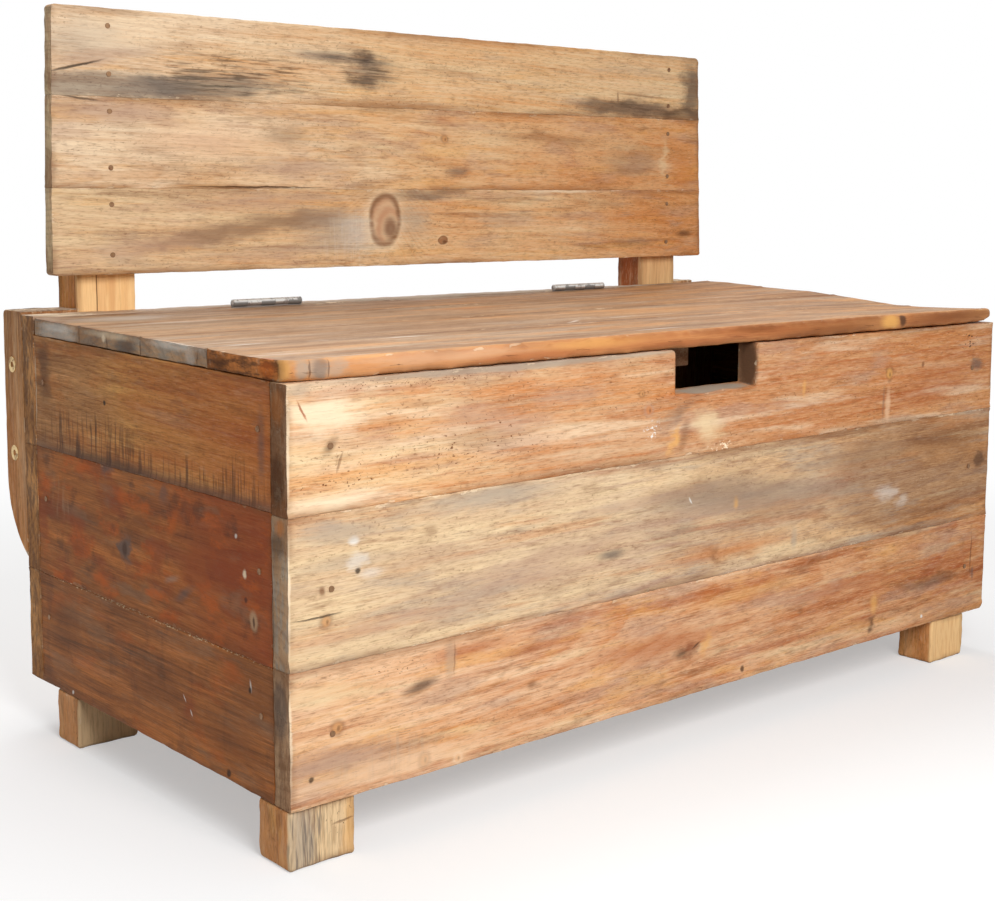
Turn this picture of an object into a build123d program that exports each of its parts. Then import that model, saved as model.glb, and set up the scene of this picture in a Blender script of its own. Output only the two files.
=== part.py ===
from build123d import *
import os

# Storage bench of reclaimed boards: a box on four feet, a hinged lid as its seat,
# and a plank backrest on two posts. Millimetres, +Z up, +X to the right, front to -Y.
# The origin is on the floor, under the middle of the bench.

# Box
bench_length = 860.0
box_depth = 418.0
wall_height = 300.0
front_thickness = 21.0
side_thickness = 20.0
back_thickness = 23.0
back_rise = 21.0  # the back wall stands this much above the other walls
bottom_course = 98.0
middle_course = 111.0
board_gap = 0.5
board_ease = 1.2  # rounding of a board's edges

# Hand notch in the front wall
notch_width = 104.0
notch_depth = 36.0
notch_centre = 5.0
notch_round = 4.0

# Feet
foot_height = 45.0
foot_width = 56.0
foot_depth = 40.0
foot_ease = 2.0
left_inset = 0.0
right_inset = 32.0
front_inset = 2.0
back_inset = 52.0

# Frame inside the box
corner_batten = 32.0
corner_drop = 6.0  # the corner battens end this much below the walls
bearer_width = 34.0
bearer_height = 22.0
floor_thickness = 12.0
floor_boards = 4
floor_gap = 2.0
floor_clearance = 1.0

# Lid
lid_thickness = 15.0
lid_clearance = 0.8  # between the lid and the walls under it
front_lid_board = 104.0
second_lid_board = 99.0
third_lid_board = 106.0
lid_nose = 5.0  # rounding of the front edge
lid_corner = 13.0  # rounding of the front corners, seen from above
lid_batten_width = 36.0
lid_batten_height = 22.0
lid_batten_setback = 24.0  # from the walls' inner faces
lid_batten_inset = 130.0  # from the lid's ends to the middles of the outer battens

# Backrest
backrest_overhang = 27.0  # beyond the posts
backrest_thickness = 14.0
backrest_lift = 35.0  # above the back wall
backrest_bottom_board = 77.0
backrest_middle_board = 82.0
backrest_top_board = 74.0

# Posts and cheeks
post_width = 57.0
post_depth = 38.0
post_drop = 6.0  # the posts end this much below the backrest's top
left_cheek_width = 53.0
right_cheek_width = 33.0
cheek_rise = 3.0  # the cheeks stand this much above the back wall
cheek_round = 5.0
cheek_height = 217.0
curve_height = 68.0  # of the curved lower end

# Connector bolts and barrel nuts
bolt_diameter = 8.0
bolt_length = 80.0
bolt_head_diameter = 14.0
bolt_head_height = 4.0
bolt_socket = 5.0
bolt_socket_depth = 2.5
bolt_drop = 48.0  # from the cheek's top to the upper bolt
bolt_spacing = 79.0
bolt_setback = 16.0  # from the posts' rear face
nut_diameter = 12.0
nut_length = 22.0
nut_from_tip = 9.0

# Hinges
left_hinge_inset = 235.0  # from the bench's end to the middle of the hinge
right_hinge_inset = 215.0
hinge_length = 76.0
knuckle_count = 5
barrel_diameter = 7.0
pin_diameter = 4.0
leaf_thickness = 1.5
leaf_gap = 0.4
leaf_drop = 22.0  # from the hinge's axis to the leaf's lower edge
hinge_screw_spacing = 26.0

# Nails and screws
nail_diameter = 2.6
nail_head_diameter = 4.6
nail_head_height = 1.2
nail_bite = 18.0
lid_nail_bite = 11.0
floor_nail_bite = 10.0
nail_edge = 16.0  # from a backrest or lid board's edge
nail_stagger = 11.0  # side nails pass the front and back ones by this much
screw_diameter = 5.0
screw_head_diameter = 9.0
screw_head_height = 4.0
foot_screw_sink = 8.0
foot_screw_bite = 9.0
foot_screw_share = 0.25  # of the depth that a foot and its bearer share, from the front
cheek_screw_bite = 18.0
cheek_screw_edge = 24.0
hinge_screw_diameter = 3.5
hinge_screw_head = 6.5
hinge_screw_bite = 15.0

# Clearances
fastener_clearance = 0.05
knuckle_clearance = 0.3
swing_clearance = 0.4

# Places that follow from the sizes
end_face = bench_length / 2
front_face = -(box_depth + post_depth) / 2
back_face = front_face + box_depth
rear_face = back_face + post_depth
inner_end = end_face - side_thickness
inner_front = front_face + front_thickness
inner_back = back_face - back_thickness
wall_bottom = foot_height
wall_top = wall_bottom + wall_height
back_top = wall_top + back_rise
floor_under = wall_bottom + bearer_height
floor_top = floor_under + floor_thickness
lid_under = wall_top + lid_clearance
lid_top = lid_under + lid_thickness
hinge_y = inner_back - leaf_thickness - leaf_gap / 2
hinge_z = back_top + barrel_diameter / 2
lid_back = hinge_y - leaf_gap / 2 - leaf_thickness
lid_middle = (lid_under + lid_top) / 2
cheek_top = back_top + cheek_rise
cheek_bottom = cheek_top - cheek_height
cheek_spans = {
    "left": (-end_face, -end_face + left_cheek_width),
    "right": (end_face - right_cheek_width, end_face),
}
post_spans = {
    "left": (cheek_spans["left"][1], cheek_spans["left"][1] + post_width),
    "right": (cheek_spans["right"][0] - post_width, cheek_spans["right"][0]),
}
backrest_bottom = back_top + backrest_lift
backrest_top = backrest_bottom + backrest_bottom_board + backrest_middle_board + backrest_top_board
backrest_front = back_face - backrest_thickness
bolt_y = rear_face - bolt_setback
bolt_heights = (cheek_top - bolt_drop, cheek_top - bolt_drop - bolt_spacing)
batten_middle_x = inner_end - corner_batten / 2
batten_middles_y = (inner_front + corner_batten / 2, inner_back - corner_batten / 2)
bearer_middle = inner_end - bearer_width / 2
sides = {"left": -1, "right": 1}
courses = ("bottom", "middle", "top")


def save(part, name):
    """Label a finished piece and write it under its own name."""
    part.label = name
    export_step(part, f"parts/{name}.step")


def stack(start, widths, gap):
    """The spans of boards laid side by side from start, with half a gap taken at each joint."""
    spans = []
    for place, width in enumerate(widths):
        low = start if place == 0 else start + gap / 2
        high = start + width if place == len(widths) - 1 else start + width - gap / 2
        spans.append((low, high))
        start += width
    return spans


def shared(first, second):
    """The stretch that two spans share."""
    return max(first[0], second[0]), min(first[1], second[1])


def middle(span):
    """The middle of a span."""
    return (span[0] + span[1]) / 2


def facing(points, outward):
    """Planes at the points, whose normals point outward."""
    return [Plane(origin=point, z_dir=outward) for point in points]


def pin_shape(head_radius, head_height, radius, length, clearance):
    """A headed pin along -Z with its head's top at the origin, or its hole when given a clearance."""
    with BuildPart() as shape:
        with BuildSketch(Plane.XZ):
            with BuildLine():
                Polyline(
                    (0, 0),
                    (head_radius + clearance, 0),
                    (head_radius + clearance, -head_height - clearance),
                    (radius + clearance, -head_height - clearance),
                    (radius + clearance, -length - clearance),
                    (0, -length - clearance),
                    close=True,
                )
            make_face()
        revolve(axis=Axis.Z)
    return shape.part


def nail(length, clearance=0.0):
    """A round-headed nail of this length, or its hole."""
    return pin_shape(nail_head_diameter / 2, nail_head_height, nail_diameter / 2, length, clearance)


def wood_screw(length, clearance=0.0):
    """A pan-headed wood screw of this length, or its hole."""
    return pin_shape(screw_head_diameter / 2, screw_head_height, screw_diameter / 2, length, clearance)


def hinge_screw(clearance=0.0):
    """A countersunk hinge screw along -Z, its head flush with the leaf, or its hole."""
    length = leaf_thickness + hinge_screw_bite
    with BuildPart() as shape:
        with BuildSketch(Plane.XZ):
            with BuildLine():
                Polyline(
                    (0, 0),
                    (hinge_screw_head / 2 + clearance, 0),
                    (hinge_screw_diameter / 2 + clearance, -leaf_thickness),
                    (hinge_screw_diameter / 2 + clearance, -length - clearance),
                    (0, -length - clearance),
                    close=True,
                )
            make_face()
        revolve(axis=Axis.Z)
    return shape.part


def placed(shape, planes):
    """Copies of a shape on each of the planes, as one group."""
    with BuildPart() as group:
        with Locations(*planes):
            add(shape)
    return group.part


def board(low, high, ease, *cuts):
    """A sawn board between two corners, with eased edges and its cuts taken away."""
    with BuildPart() as piece:
        with Locations(tuple((a + b) / 2 for a, b in zip(low, high))):
            Box(*[b - a for a, b in zip(low, high)])
        fillet(piece.edges(), ease)
        for cut in cuts:
            add(cut, mode=Mode.SUBTRACT)
    return piece.part


os.makedirs("parts", exist_ok=True)

# Board spans
course_widths = (bottom_course, middle_course, wall_height - bottom_course - middle_course)
wall_spans = stack(wall_bottom, course_widths, board_gap)
back_widths = (bottom_course, middle_course, back_top - wall_bottom - bottom_course - middle_course)
back_spans = stack(wall_bottom, back_widths, board_gap)
backrest_widths = (backrest_bottom_board, backrest_middle_board, backrest_top_board)
backrest_spans = stack(backrest_bottom, backrest_widths, board_gap)
last_lid_board = lid_back - front_face - front_lid_board - second_lid_board - third_lid_board
lid_widths = (front_lid_board, second_lid_board, third_lid_board, last_lid_board)
lid_spans = stack(front_face, lid_widths, board_gap)
floor_room = inner_back - inner_front - 2 * floor_clearance
floor_spans = stack(inner_front + floor_clearance, [floor_room / floor_boards] * floor_boards, floor_gap)

# Nail and screw places, each on the face where its head lies
wall_nail_heights = [middle(span) for span in wall_spans]
side_nail_heights = [z + nail_stagger for z in wall_nail_heights]
backrest_nail_heights = [z for low, high in backrest_spans for z in (low + nail_edge, high - nail_edge)]
front_nail_planes = facing(
    [(side * batten_middle_x, front_face, z) for side in sides.values() for z in wall_nail_heights],
    (0, -1, 0),
)
back_nail_planes = facing(
    [(side * batten_middle_x, back_face, z) for side in sides.values() for z in wall_nail_heights],
    (0, 1, 0),
)
side_nail_planes = {
    name: facing(
        [(side * end_face, y, z) for y in batten_middles_y for z in side_nail_heights],
        (side, 0, 0),
    )
    for name, side in sides.items()
}
backrest_nail_planes = facing(
    [(middle(span), backrest_front, z) for span in post_spans.values() for z in backrest_nail_heights],
    (0, -1, 0),
)
outer_lid_batten = end_face - lid_batten_inset
lid_batten_places = {"left": -outer_lid_batten, "middle": 0.0, "right": outer_lid_batten}
lid_batten_front = inner_front + lid_batten_setback
lid_batten_back = inner_back - lid_batten_setback
lid_batten_under = lid_under - lid_batten_height
lid_nail_planes = facing(
    [
        (x, y, lid_batten_under)
        for x in lid_batten_places.values()
        for low, high in lid_spans
        for y in (max(low, lid_batten_front) + nail_edge, min(high, lid_batten_back) - nail_edge)
    ],
    (0, 0, -1),
)
bearer_places = {"left": -bearer_middle, "middle": 0.0, "right": bearer_middle}
floor_nail_planes = facing(
    [(x, middle(span), floor_top) for x in bearer_places.values() for span in floor_spans],
    (0, 0, 1),
)
cheek_screw_planes = facing(
    [
        (middle(span), rear_face, z)
        for span in cheek_spans.values()
        for z in (cheek_top - cheek_screw_edge, cheek_bottom + curve_height - cheek_screw_edge)
    ],
    (0, 1, 0),
)

front_nail_length = front_thickness + nail_bite
back_nail_length = back_thickness + nail_bite
side_nail_length = side_thickness + nail_bite
backrest_nail_length = backrest_thickness + nail_bite
lid_nail_length = lid_batten_height + lid_nail_bite
floor_nail_length = floor_thickness + floor_nail_bite
cheek_screw_length = post_depth + cheek_screw_bite

front_nail_holes = placed(nail(front_nail_length, fastener_clearance), front_nail_planes)
back_nail_holes = placed(nail(back_nail_length, fastener_clearance), back_nail_planes)
side_nail_holes = {
    name: placed(nail(side_nail_length, fastener_clearance), planes)
    for name, planes in side_nail_planes.items()
}
backrest_nail_holes = placed(nail(backrest_nail_length, fastener_clearance), backrest_nail_planes)
lid_nail_holes = placed(nail(lid_nail_length, fastener_clearance), lid_nail_planes)
floor_nail_holes = placed(nail(floor_nail_length, fastener_clearance), floor_nail_planes)
cheek_screw_holes = placed(wood_screw(cheek_screw_length, fastener_clearance), cheek_screw_planes)

# Hinge screws: those of the back wall face forward, those of the lid face backward
hinge_places = {"left": -end_face + left_hinge_inset, "right": end_face - right_hinge_inset}
hinge_screw_columns = [
    centre + step * hinge_screw_spacing for centre in hinge_places.values() for step in (-1, 0, 1)
]
wall_leaf_screw_planes = facing(
    [(x, hinge_y + leaf_gap / 2, lid_middle) for x in hinge_screw_columns],
    (0, -1, 0),
)
lid_leaf_screw_planes = facing(
    [(x, hinge_y - leaf_gap / 2, lid_middle) for x in hinge_screw_columns],
    (0, 1, 0),
)
wall_leaf_screw_holes = placed(hinge_screw(fastener_clearance), wall_leaf_screw_planes)
lid_leaf_screw_holes = placed(hinge_screw(fastener_clearance), lid_leaf_screw_planes)

# Front wall, with the hand notch open at the top of its upper board
with BuildPart() as hand_notch:
    with BuildSketch(Plane.XZ.offset(-inner_front)):
        with Locations((notch_centre, wall_top)):
            Rectangle(notch_width, 2 * notch_depth)
    extrude(amount=front_thickness)

front_boards = {
    course: board((-end_face, front_face, low), (end_face, inner_front, high), board_ease, front_nail_holes)
    for course, (low, high) in zip(courses, wall_spans)
}
with BuildPart() as notched_board:
    add(front_boards["top"])
    add(hand_notch.part, mode=Mode.SUBTRACT)
    notch_mouth = notched_board.edges().filter_by(Axis.Y).filter_by(
        lambda edge: abs(edge.center().X - notch_centre) < notch_width / 2 + board_ease
        and edge.center().Z > wall_top - notch_depth / 2
    )
    fillet(notch_mouth, notch_round)
front_boards["top"] = notched_board.part
for course, front_board in front_boards.items():
    save(front_board, f"front_board_{course}")

# Back wall
for course, (low, high) in zip(courses, back_spans):
    cuts = [back_nail_holes, cheek_screw_holes]
    if course == "top":
        cuts.append(wall_leaf_screw_holes)
    back_board = board((-end_face, inner_back, low), (end_face, back_face, high), board_ease, *cuts)
    save(back_board, f"back_board_{course}")

# Side walls, between the front and back walls
for name, side in sides.items():
    near_x, far_x = sorted((side * inner_end, side * end_face))
    for course, (low_z, high_z) in zip(courses, wall_spans):
        low = (near_x, inner_front, low_z)
        high = (far_x, inner_back, high_z)
        save(board(low, high, board_ease, side_nail_holes[name]), f"{name}_board_{course}")

# Bearers on the feet, under the floor
foot_spans_x = {
    "left": (-end_face + left_inset, -end_face + left_inset + foot_width),
    "right": (end_face - right_inset - foot_width, end_face - right_inset),
}
foot_spans_y = {
    "front": (front_face + front_inset, front_face + front_inset + foot_depth),
    "back": (back_face - back_inset - foot_depth, back_face - back_inset),
}
bearer_spans = {name: (x - bearer_width / 2, x + bearer_width / 2) for name, x in bearer_places.items()}

foot_screw_points = []
for foot_span_y in foot_spans_y.values():
    for name, foot_span_x in foot_spans_x.items():
        screw_x = middle(shared(foot_span_x, bearer_spans[name]))
        near_y, far_y = shared(foot_span_y, (inner_front, inner_back))
        screw_y = near_y + foot_screw_share * (far_y - near_y)
        foot_screw_points.append((screw_x, screw_y, foot_screw_sink))
foot_screw_planes = facing(foot_screw_points, (0, 0, -1))
foot_screw_length = foot_height - foot_screw_sink + foot_screw_bite
foot_screw_holes = placed(wood_screw(foot_screw_length, fastener_clearance), foot_screw_planes)

for name, (near, far) in bearer_spans.items():
    low = (near, inner_front, wall_bottom)
    high = (far, inner_back, floor_under)
    save(board(low, high, board_ease, floor_nail_holes, foot_screw_holes), f"floor_bearer_{name}")

# Corner battens, which stand on the bearers
corner_rows = {
    "front": (inner_front, inner_front + corner_batten, front_nail_holes),
    "back": (inner_back - corner_batten, inner_back, back_nail_holes),
}
for row, (low_y, high_y, holes) in corner_rows.items():
    for name, side in sides.items():
        near, far = sorted((side * (inner_end - corner_batten), side * inner_end))
        low = (near, low_y, floor_under)
        high = (far, high_y, wall_top - corner_drop)
        save(board(low, high, board_ease, holes, side_nail_holes[name]), f"corner_batten_{row}_{name}")

# Floor boards, cut round the corner battens
batten_room = corner_batten + floor_clearance
with BuildPart() as corner_room:
    with Locations((0, middle((inner_front, inner_back)), floor_under + floor_thickness / 2)):
        with GridLocations(2 * inner_end - batten_room, inner_back - inner_front - batten_room, 2, 2):
            Box(batten_room, batten_room, floor_thickness)

for place, (low_y, high_y) in enumerate(floor_spans, start=1):
    low = (-inner_end + floor_clearance, low_y, floor_under)
    high = (inner_end - floor_clearance, high_y, floor_top)
    save(board(low, high, board_ease, corner_room.part, floor_nail_holes), f"floor_board_{place}")

# Feet, each with a sunk screw from below
with BuildPart() as screw_sinks:
    for x, y, sink in foot_screw_points:
        with Locations((x, y, sink / 2)):
            Cylinder(screw_head_diameter / 2 + fastener_clearance, sink)

for row, (low_y, high_y) in foot_spans_y.items():
    for name, (near, far) in foot_spans_x.items():
        low = (near, low_y, 0)
        high = (far, high_y, foot_height)
        save(board(low, high, foot_ease, foot_screw_holes, screw_sinks.part), f"foot_{row}_{name}")

# Connector bolts run inward from the cheeks' outer faces, through barrel nuts in the posts
bolt_planes = {
    name: facing([(side * end_face, bolt_y, z) for z in bolt_heights], (side, 0, 0))
    for name, side in sides.items()
}
nut_x = end_face - bolt_length + nut_from_tip
nut_planes = {
    name: [Plane((side * nut_x, bolt_y, z), x_dir=(1, 0, 0), z_dir=(0, -1, 0)) for z in bolt_heights]
    for name, side in sides.items()
}

bolt_blank = pin_shape(bolt_head_diameter / 2, bolt_head_height, bolt_diameter / 2, bolt_length, 0.0)
bolt_hole = pin_shape(
    bolt_head_diameter / 2,
    bolt_head_height,
    bolt_diameter / 2,
    bolt_length,
    fastener_clearance,
)
with BuildPart() as bolt:
    add(bolt_blank)
    with BuildSketch():
        RegularPolygon(bolt_socket / 2, 6, major_radius=False)
    extrude(amount=-bolt_socket_depth, mode=Mode.SUBTRACT)

with BuildPart() as barrel_nut:
    Cylinder(nut_diameter / 2, nut_length)
    with Locations(Rotation(0, 90, 0)):
        Cylinder(bolt_diameter / 2 + fastener_clearance, nut_diameter, mode=Mode.SUBTRACT)

# Room for a nut, drilled from the post's rear face
nut_room_depth = bolt_setback + nut_length / 2 + 2 * fastener_clearance
with BuildPart() as nut_room:
    with Locations((0, 0, (nut_length / 2 - bolt_setback) / 2)):
        Cylinder(nut_diameter / 2 + fastener_clearance, nut_room_depth)


# Cheeks and posts, side by side behind the back wall
def rear_block(span, top, *cuts):
    """An upright block across a span, straight at the front and curved in at its lower rear end."""
    with BuildPart() as block:
        with BuildSketch(Plane.YZ.offset(span[0])):
            with BuildLine():
                Polyline(
                    (back_face, cheek_bottom),
                    (back_face, top),
                    (rear_face, top),
                    (rear_face, cheek_bottom + curve_height),
                )
                TangentArc(
                    (rear_face, cheek_bottom + curve_height),
                    (back_face, cheek_bottom),
                    tangent=(0, -1),
                )
            make_face()
        extrude(amount=span[1] - span[0])
        fillet(block.edges().filter_by(Axis.X).group_by(Axis.Z)[-1].sort_by(Axis.Y)[-1], cheek_round)
        for cut in cuts:
            add(cut, mode=Mode.SUBTRACT)
    return block.part


for name in sides:
    bolt_holes = placed(bolt_hole, bolt_planes[name])
    nut_rooms = placed(nut_room.part, nut_planes[name])
    save(rear_block(cheek_spans[name], cheek_top, bolt_holes, cheek_screw_holes), f"cheek_{name}")
    post_top = backrest_top - post_drop
    save(rear_block(post_spans[name], post_top, bolt_holes, nut_rooms, backrest_nail_holes), f"post_{name}")

# Backrest boards on the posts
for course, (low, high) in zip(courses, backrest_spans):
    near = (post_spans["left"][0] - backrest_overhang, backrest_front, low)
    far = (post_spans["right"][1] + backrest_overhang, back_face, high)
    save(board(near, far, board_ease, backrest_nail_holes), f"backrest_board_{course}")

# Lid boards; the front one has a rounded edge and rounded corners
lid_names = ("front", "second", "third", "back")
for name, (low, high) in zip(lid_names, lid_spans):
    with BuildPart() as lid_board:
        with Locations((0, (low + high) / 2, lid_middle)):
            Box(bench_length, high - low, lid_thickness)
        if name == "front":
            fillet(lid_board.edges().filter_by(Axis.Z).group_by(Axis.Y)[0], lid_corner)
            fillet(lid_board.edges().filter_by(Axis.X).group_by(Axis.Y)[0], lid_nose)
        add(lid_nail_holes, mode=Mode.SUBTRACT)
        if name == "back":
            add(lid_leaf_screw_holes, mode=Mode.SUBTRACT)
    save(lid_board.part, f"lid_board_{name}")

# Battens under the lid, short of the walls so that they swing out freely
for name, x in lid_batten_places.items():
    near = (x - lid_batten_width / 2, lid_batten_front, lid_batten_under)
    far = (x + lid_batten_width / 2, lid_batten_back, lid_under)
    save(board(near, far, board_ease, lid_nail_holes), f"lid_batten_{name}")

# Hinges: knuckles of the wall leaf and of the lid leaf take turns along the barrel
knuckle_pitch = hinge_length / knuckle_count
bore_radius = pin_diameter / 2 + fastener_clearance
leaf_middle = (leaf_gap + leaf_thickness) / 2


def hinge_leaf(centre, first, toward, screw_holes):
    """A leaf with every second knuckle from first, its plate on the toward side of the axis."""
    own = [knuckle for knuckle in range(knuckle_count) if knuckle % 2 == first]
    other = [knuckle for knuckle in range(knuckle_count) if knuckle % 2 != first]

    def along(knuckles):
        start = centre - hinge_length / 2 + knuckle_pitch / 2
        places = [start + knuckle * knuckle_pitch for knuckle in knuckles]
        return facing([(x, hinge_y, hinge_z) for x in places], (1, 0, 0))

    with BuildPart() as leaf:
        with Locations((centre, hinge_y + toward * leaf_middle, hinge_z - leaf_drop / 2)):
            Box(hinge_length, leaf_thickness, leaf_drop)
        with Locations(*along(other)):
            Cylinder(barrel_diameter / 2 + swing_clearance, knuckle_pitch, mode=Mode.SUBTRACT)
        with Locations(*along(own)):
            Cylinder(barrel_diameter / 2, knuckle_pitch - knuckle_clearance)
        with Locations(Plane((centre, hinge_y, hinge_z), z_dir=(1, 0, 0))):
            Cylinder(bore_radius, hinge_length, mode=Mode.SUBTRACT)
        add(screw_holes, mode=Mode.SUBTRACT)
    return leaf.part


for name, centre in hinge_places.items():
    save(hinge_leaf(centre, 0, 1, wall_leaf_screw_holes), f"hinge_{name}_wall_leaf")
    save(hinge_leaf(centre, 1, -1, lid_leaf_screw_holes), f"hinge_{name}_lid_leaf")
    with BuildPart() as hinge_pin:
        with Locations(Plane((centre, hinge_y, hinge_z), z_dir=(1, 0, 0))):
            Cylinder(pin_diameter / 2, hinge_length)
    save(hinge_pin.part, f"hinge_{name}_pin")

# Fasteners, like ones together
side_planes = side_nail_planes["left"] + side_nail_planes["right"]
fastener_groups = {
    "front_nails": (nail(front_nail_length), front_nail_planes),
    "back_nails": (nail(back_nail_length), back_nail_planes),
    "side_nails": (nail(side_nail_length), side_planes),
    "backrest_nails": (nail(backrest_nail_length), backrest_nail_planes),
    "lid_nails": (nail(lid_nail_length), lid_nail_planes),
    "floor_nails": (nail(floor_nail_length), floor_nail_planes),
    "foot_screws": (wood_screw(foot_screw_length), foot_screw_planes),
    "cheek_screws": (wood_screw(cheek_screw_length), cheek_screw_planes),
    "wall_leaf_screws": (hinge_screw(), wall_leaf_screw_planes),
    "lid_leaf_screws": (hinge_screw(), lid_leaf_screw_planes),
    "connector_bolts": (bolt.part, bolt_planes["left"] + bolt_planes["right"]),
    "barrel_nuts": (barrel_nut.part, nut_planes["left"] + nut_planes["right"]),
}
for name, (shape, planes) in fastener_groups.items():
    save(placed(shape, planes), name)
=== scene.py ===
"""Looks for a worn pine storage bench, built round its packed frame and run as a script."""

import math
from collections import namedtuple

import bpy
import numpy as np
from bpy.props import FloatProperty, FloatVectorProperty, PointerProperty
from mathutils import Matrix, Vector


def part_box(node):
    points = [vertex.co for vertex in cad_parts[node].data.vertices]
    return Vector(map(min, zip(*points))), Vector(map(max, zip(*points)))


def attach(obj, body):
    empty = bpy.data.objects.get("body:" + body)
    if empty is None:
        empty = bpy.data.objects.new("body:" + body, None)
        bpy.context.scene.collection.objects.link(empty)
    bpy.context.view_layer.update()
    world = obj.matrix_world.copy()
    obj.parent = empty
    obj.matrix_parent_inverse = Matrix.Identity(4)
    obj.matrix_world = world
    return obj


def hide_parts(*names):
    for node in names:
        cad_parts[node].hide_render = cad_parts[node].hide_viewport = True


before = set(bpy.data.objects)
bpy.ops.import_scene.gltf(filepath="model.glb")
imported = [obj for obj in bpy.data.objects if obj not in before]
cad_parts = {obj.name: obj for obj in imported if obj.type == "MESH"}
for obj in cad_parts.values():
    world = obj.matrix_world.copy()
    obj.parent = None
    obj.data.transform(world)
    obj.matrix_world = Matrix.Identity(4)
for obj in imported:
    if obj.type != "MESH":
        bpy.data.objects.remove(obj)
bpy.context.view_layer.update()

bl_info = {
    "name": "Worn storage bench",
    "version": (1, 0, 0),
    "blender": (4, 5, 0),
    "location": "3D View > Sidebar > Bench",
    "description": "Worn boards, metalwork and a white stage for a storage bench",
    "category": "Add Mesh",
}

X, Y, Z = 0, 1, 2
MM = 0.001
COURSES = ("bottom", "middle", "top")
SHARP_ANGLE = math.radians(50.0)


def srgb(red, green, blue):
    """Linear colour of a screen colour given as three numbers up to 255."""
    screen = np.array((red, green, blue)) / 255.0
    linear = np.where(screen <= 0.04045, screen / 12.92, ((screen + 0.055) / 1.055) ** 2.4)
    return tuple(float(v) for v in linear)


def colour_property(name, description, *screen):
    return FloatVectorProperty(
        name=name, description=description, subtype="COLOR", size=3, min=0.0, max=1.0, default=srgb(*screen)
    )


def length_property(name, description, default):
    return FloatProperty(name=name, description=description, default=default, min=0.0, unit="LENGTH")


class BenchSizes(bpy.types.PropertyGroup):
    """Small sizes of the worn boards."""

    ease: length_property("Ease", "Radius of a board's worn arrises", 0.0009)
    sink: length_property("Sink", "How far worn faces lie below the nail heads", 0.0003)
    swell: length_property("Swell", "Height of the gentle waves in a board's face", 0.00035)
    ragged: length_property("Ragged", "How far an edge wanders from straight", 0.0005)
    joint: length_property("Joint", "How far boards in a row reach into the joint between them", 0.0003)
    step: length_property("Step", "Distance between sections along a board", 0.007)


class BenchColours(bpy.types.PropertyGroup):
    """Colours of the wood, its marks and the metal."""

    cream: colour_property("Cream", "Bleached wood", 250, 226, 192)
    straw: colour_property("Straw", "Pale yellow wood", 236, 208, 164)
    wheat: colour_property("Wheat", "Fresh yellow wood", 255, 212, 152)
    peach: colour_property("Peach", "Pale pinkish wood", 240, 200, 162)
    honey: colour_property("Honey", "Plain pine", 224, 164, 106)
    amber: colour_property("Amber", "Old orange pine", 206, 126, 62)
    gold: colour_property("Gold", "Bright orange-yellow wood", 236, 176, 98)
    tan: colour_property("Tan", "Greyish pine", 206, 166, 128)
    mauve: colour_property("Mauve", "Pinkish grey wood", 184, 148, 126)
    taupe: colour_property("Taupe", "Dusty grey-brown wood", 188, 156, 128)
    fawn: colour_property("Fawn", "Dull light brown wood", 190, 152, 116)
    drab: colour_property("Drab", "Dull brown wood", 146, 112, 84)
    ember: colour_property("Ember", "Bright orange stain", 200, 98, 34)
    cherry: colour_property("Cherry", "Dark red-brown stain", 146, 64, 26)
    rust: colour_property("Rust", "Reddish grain", 168, 84, 38)
    umber: colour_property("Umber", "Dark grain", 116, 68, 34)
    # bark is also the painted shade on the hinges' leaves and the lower half of their knuckles
    bark: colour_property("Bark", "Very dark brown stain", 74, 46, 30)
    slate: colour_property("Slate", "Blue-grey stain", 92, 84, 80)
    ash: colour_property("Ash", "Grey weathered wood", 176, 160, 142)
    chalk: colour_property("Chalk", "Old white paint and filler", 240, 234, 224)
    # soot is also the deeper painted shade on alternate hinge knuckles
    soot: colour_property("Soot", "Cracks and holes", 34, 24, 18)
    steel: colour_property("Steel", "Zinc-plated hinges", 216, 212, 206)
    iron: colour_property("Iron", "Dull nail heads", 144, 112, 84)
    brass: colour_property("Brass", "Yellow-passivated bolts", 214, 184, 128)
    floor: colour_property("Floor", "Pale studio floor", 204, 204, 204)


class StageSettings(bpy.types.PropertyGroup):
    """Light, floor and lens."""

    floor_width: length_property("Floor width", "Side of the square floor", 24.0)
    lens: FloatProperty(
        name="Lens", description="Focal length at a 36 mm sensor", default=57.16, min=1.0, unit="CAMERA"
    )
    key_power: FloatProperty(
        name="Key power", description="Power of the soft lamp in front", default=20.0, min=0.0, unit="POWER"
    )
    top_power: FloatProperty(
        name="Top power", description="Power of the wide lamp overhead", default=24.0, min=0.0, unit="POWER"
    )
    sky: FloatProperty(name="Sky", description="Level of the even light all round", default=0.3, min=0.0)


# Node trees


class Wire:
    """A socket's value in a node tree. Operators on it add the Math nodes that work the result out."""

    def __init__(self, nodes, socket):
        self.nodes = nodes
        self.socket = socket

    def maths(self, operation, *values):
        sockets = dict(enumerate(values))
        return self.nodes.add("ShaderNodeMath", {"operation": operation}, sockets)

    def __add__(self, other):
        return self.maths("ADD", self, other)

    __radd__ = __add__

    def __sub__(self, other):
        return self.maths("SUBTRACT", self, other)

    def __rsub__(self, other):
        return self.maths("SUBTRACT", other, self)

    def __mul__(self, other):
        return self.maths("MULTIPLY", self, other)

    __rmul__ = __mul__

    def __truediv__(self, other):
        return self.maths("DIVIDE", self, other)

    def __rtruediv__(self, other):
        return self.maths("DIVIDE", other, self)

    def root(self):
        return self.maths("SQRT", self)

    def whole(self):
        return self.maths("FLOOR", self)

    def wave(self):
        return self.maths("SINE", self)

    def between(self, low, high):
        """0 below low, 1 above high and a smooth rise from one to the other."""
        settings = {"interpolation_type": "SMOOTHSTEP"}
        return self.nodes.add("ShaderNodeMapRange", settings, {0: self, 1: low, 2: high, 3: 0.0, 4: 1.0})

    def limited(self):
        return self.nodes.add("ShaderNodeClamp", {}, {0: self})


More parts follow.
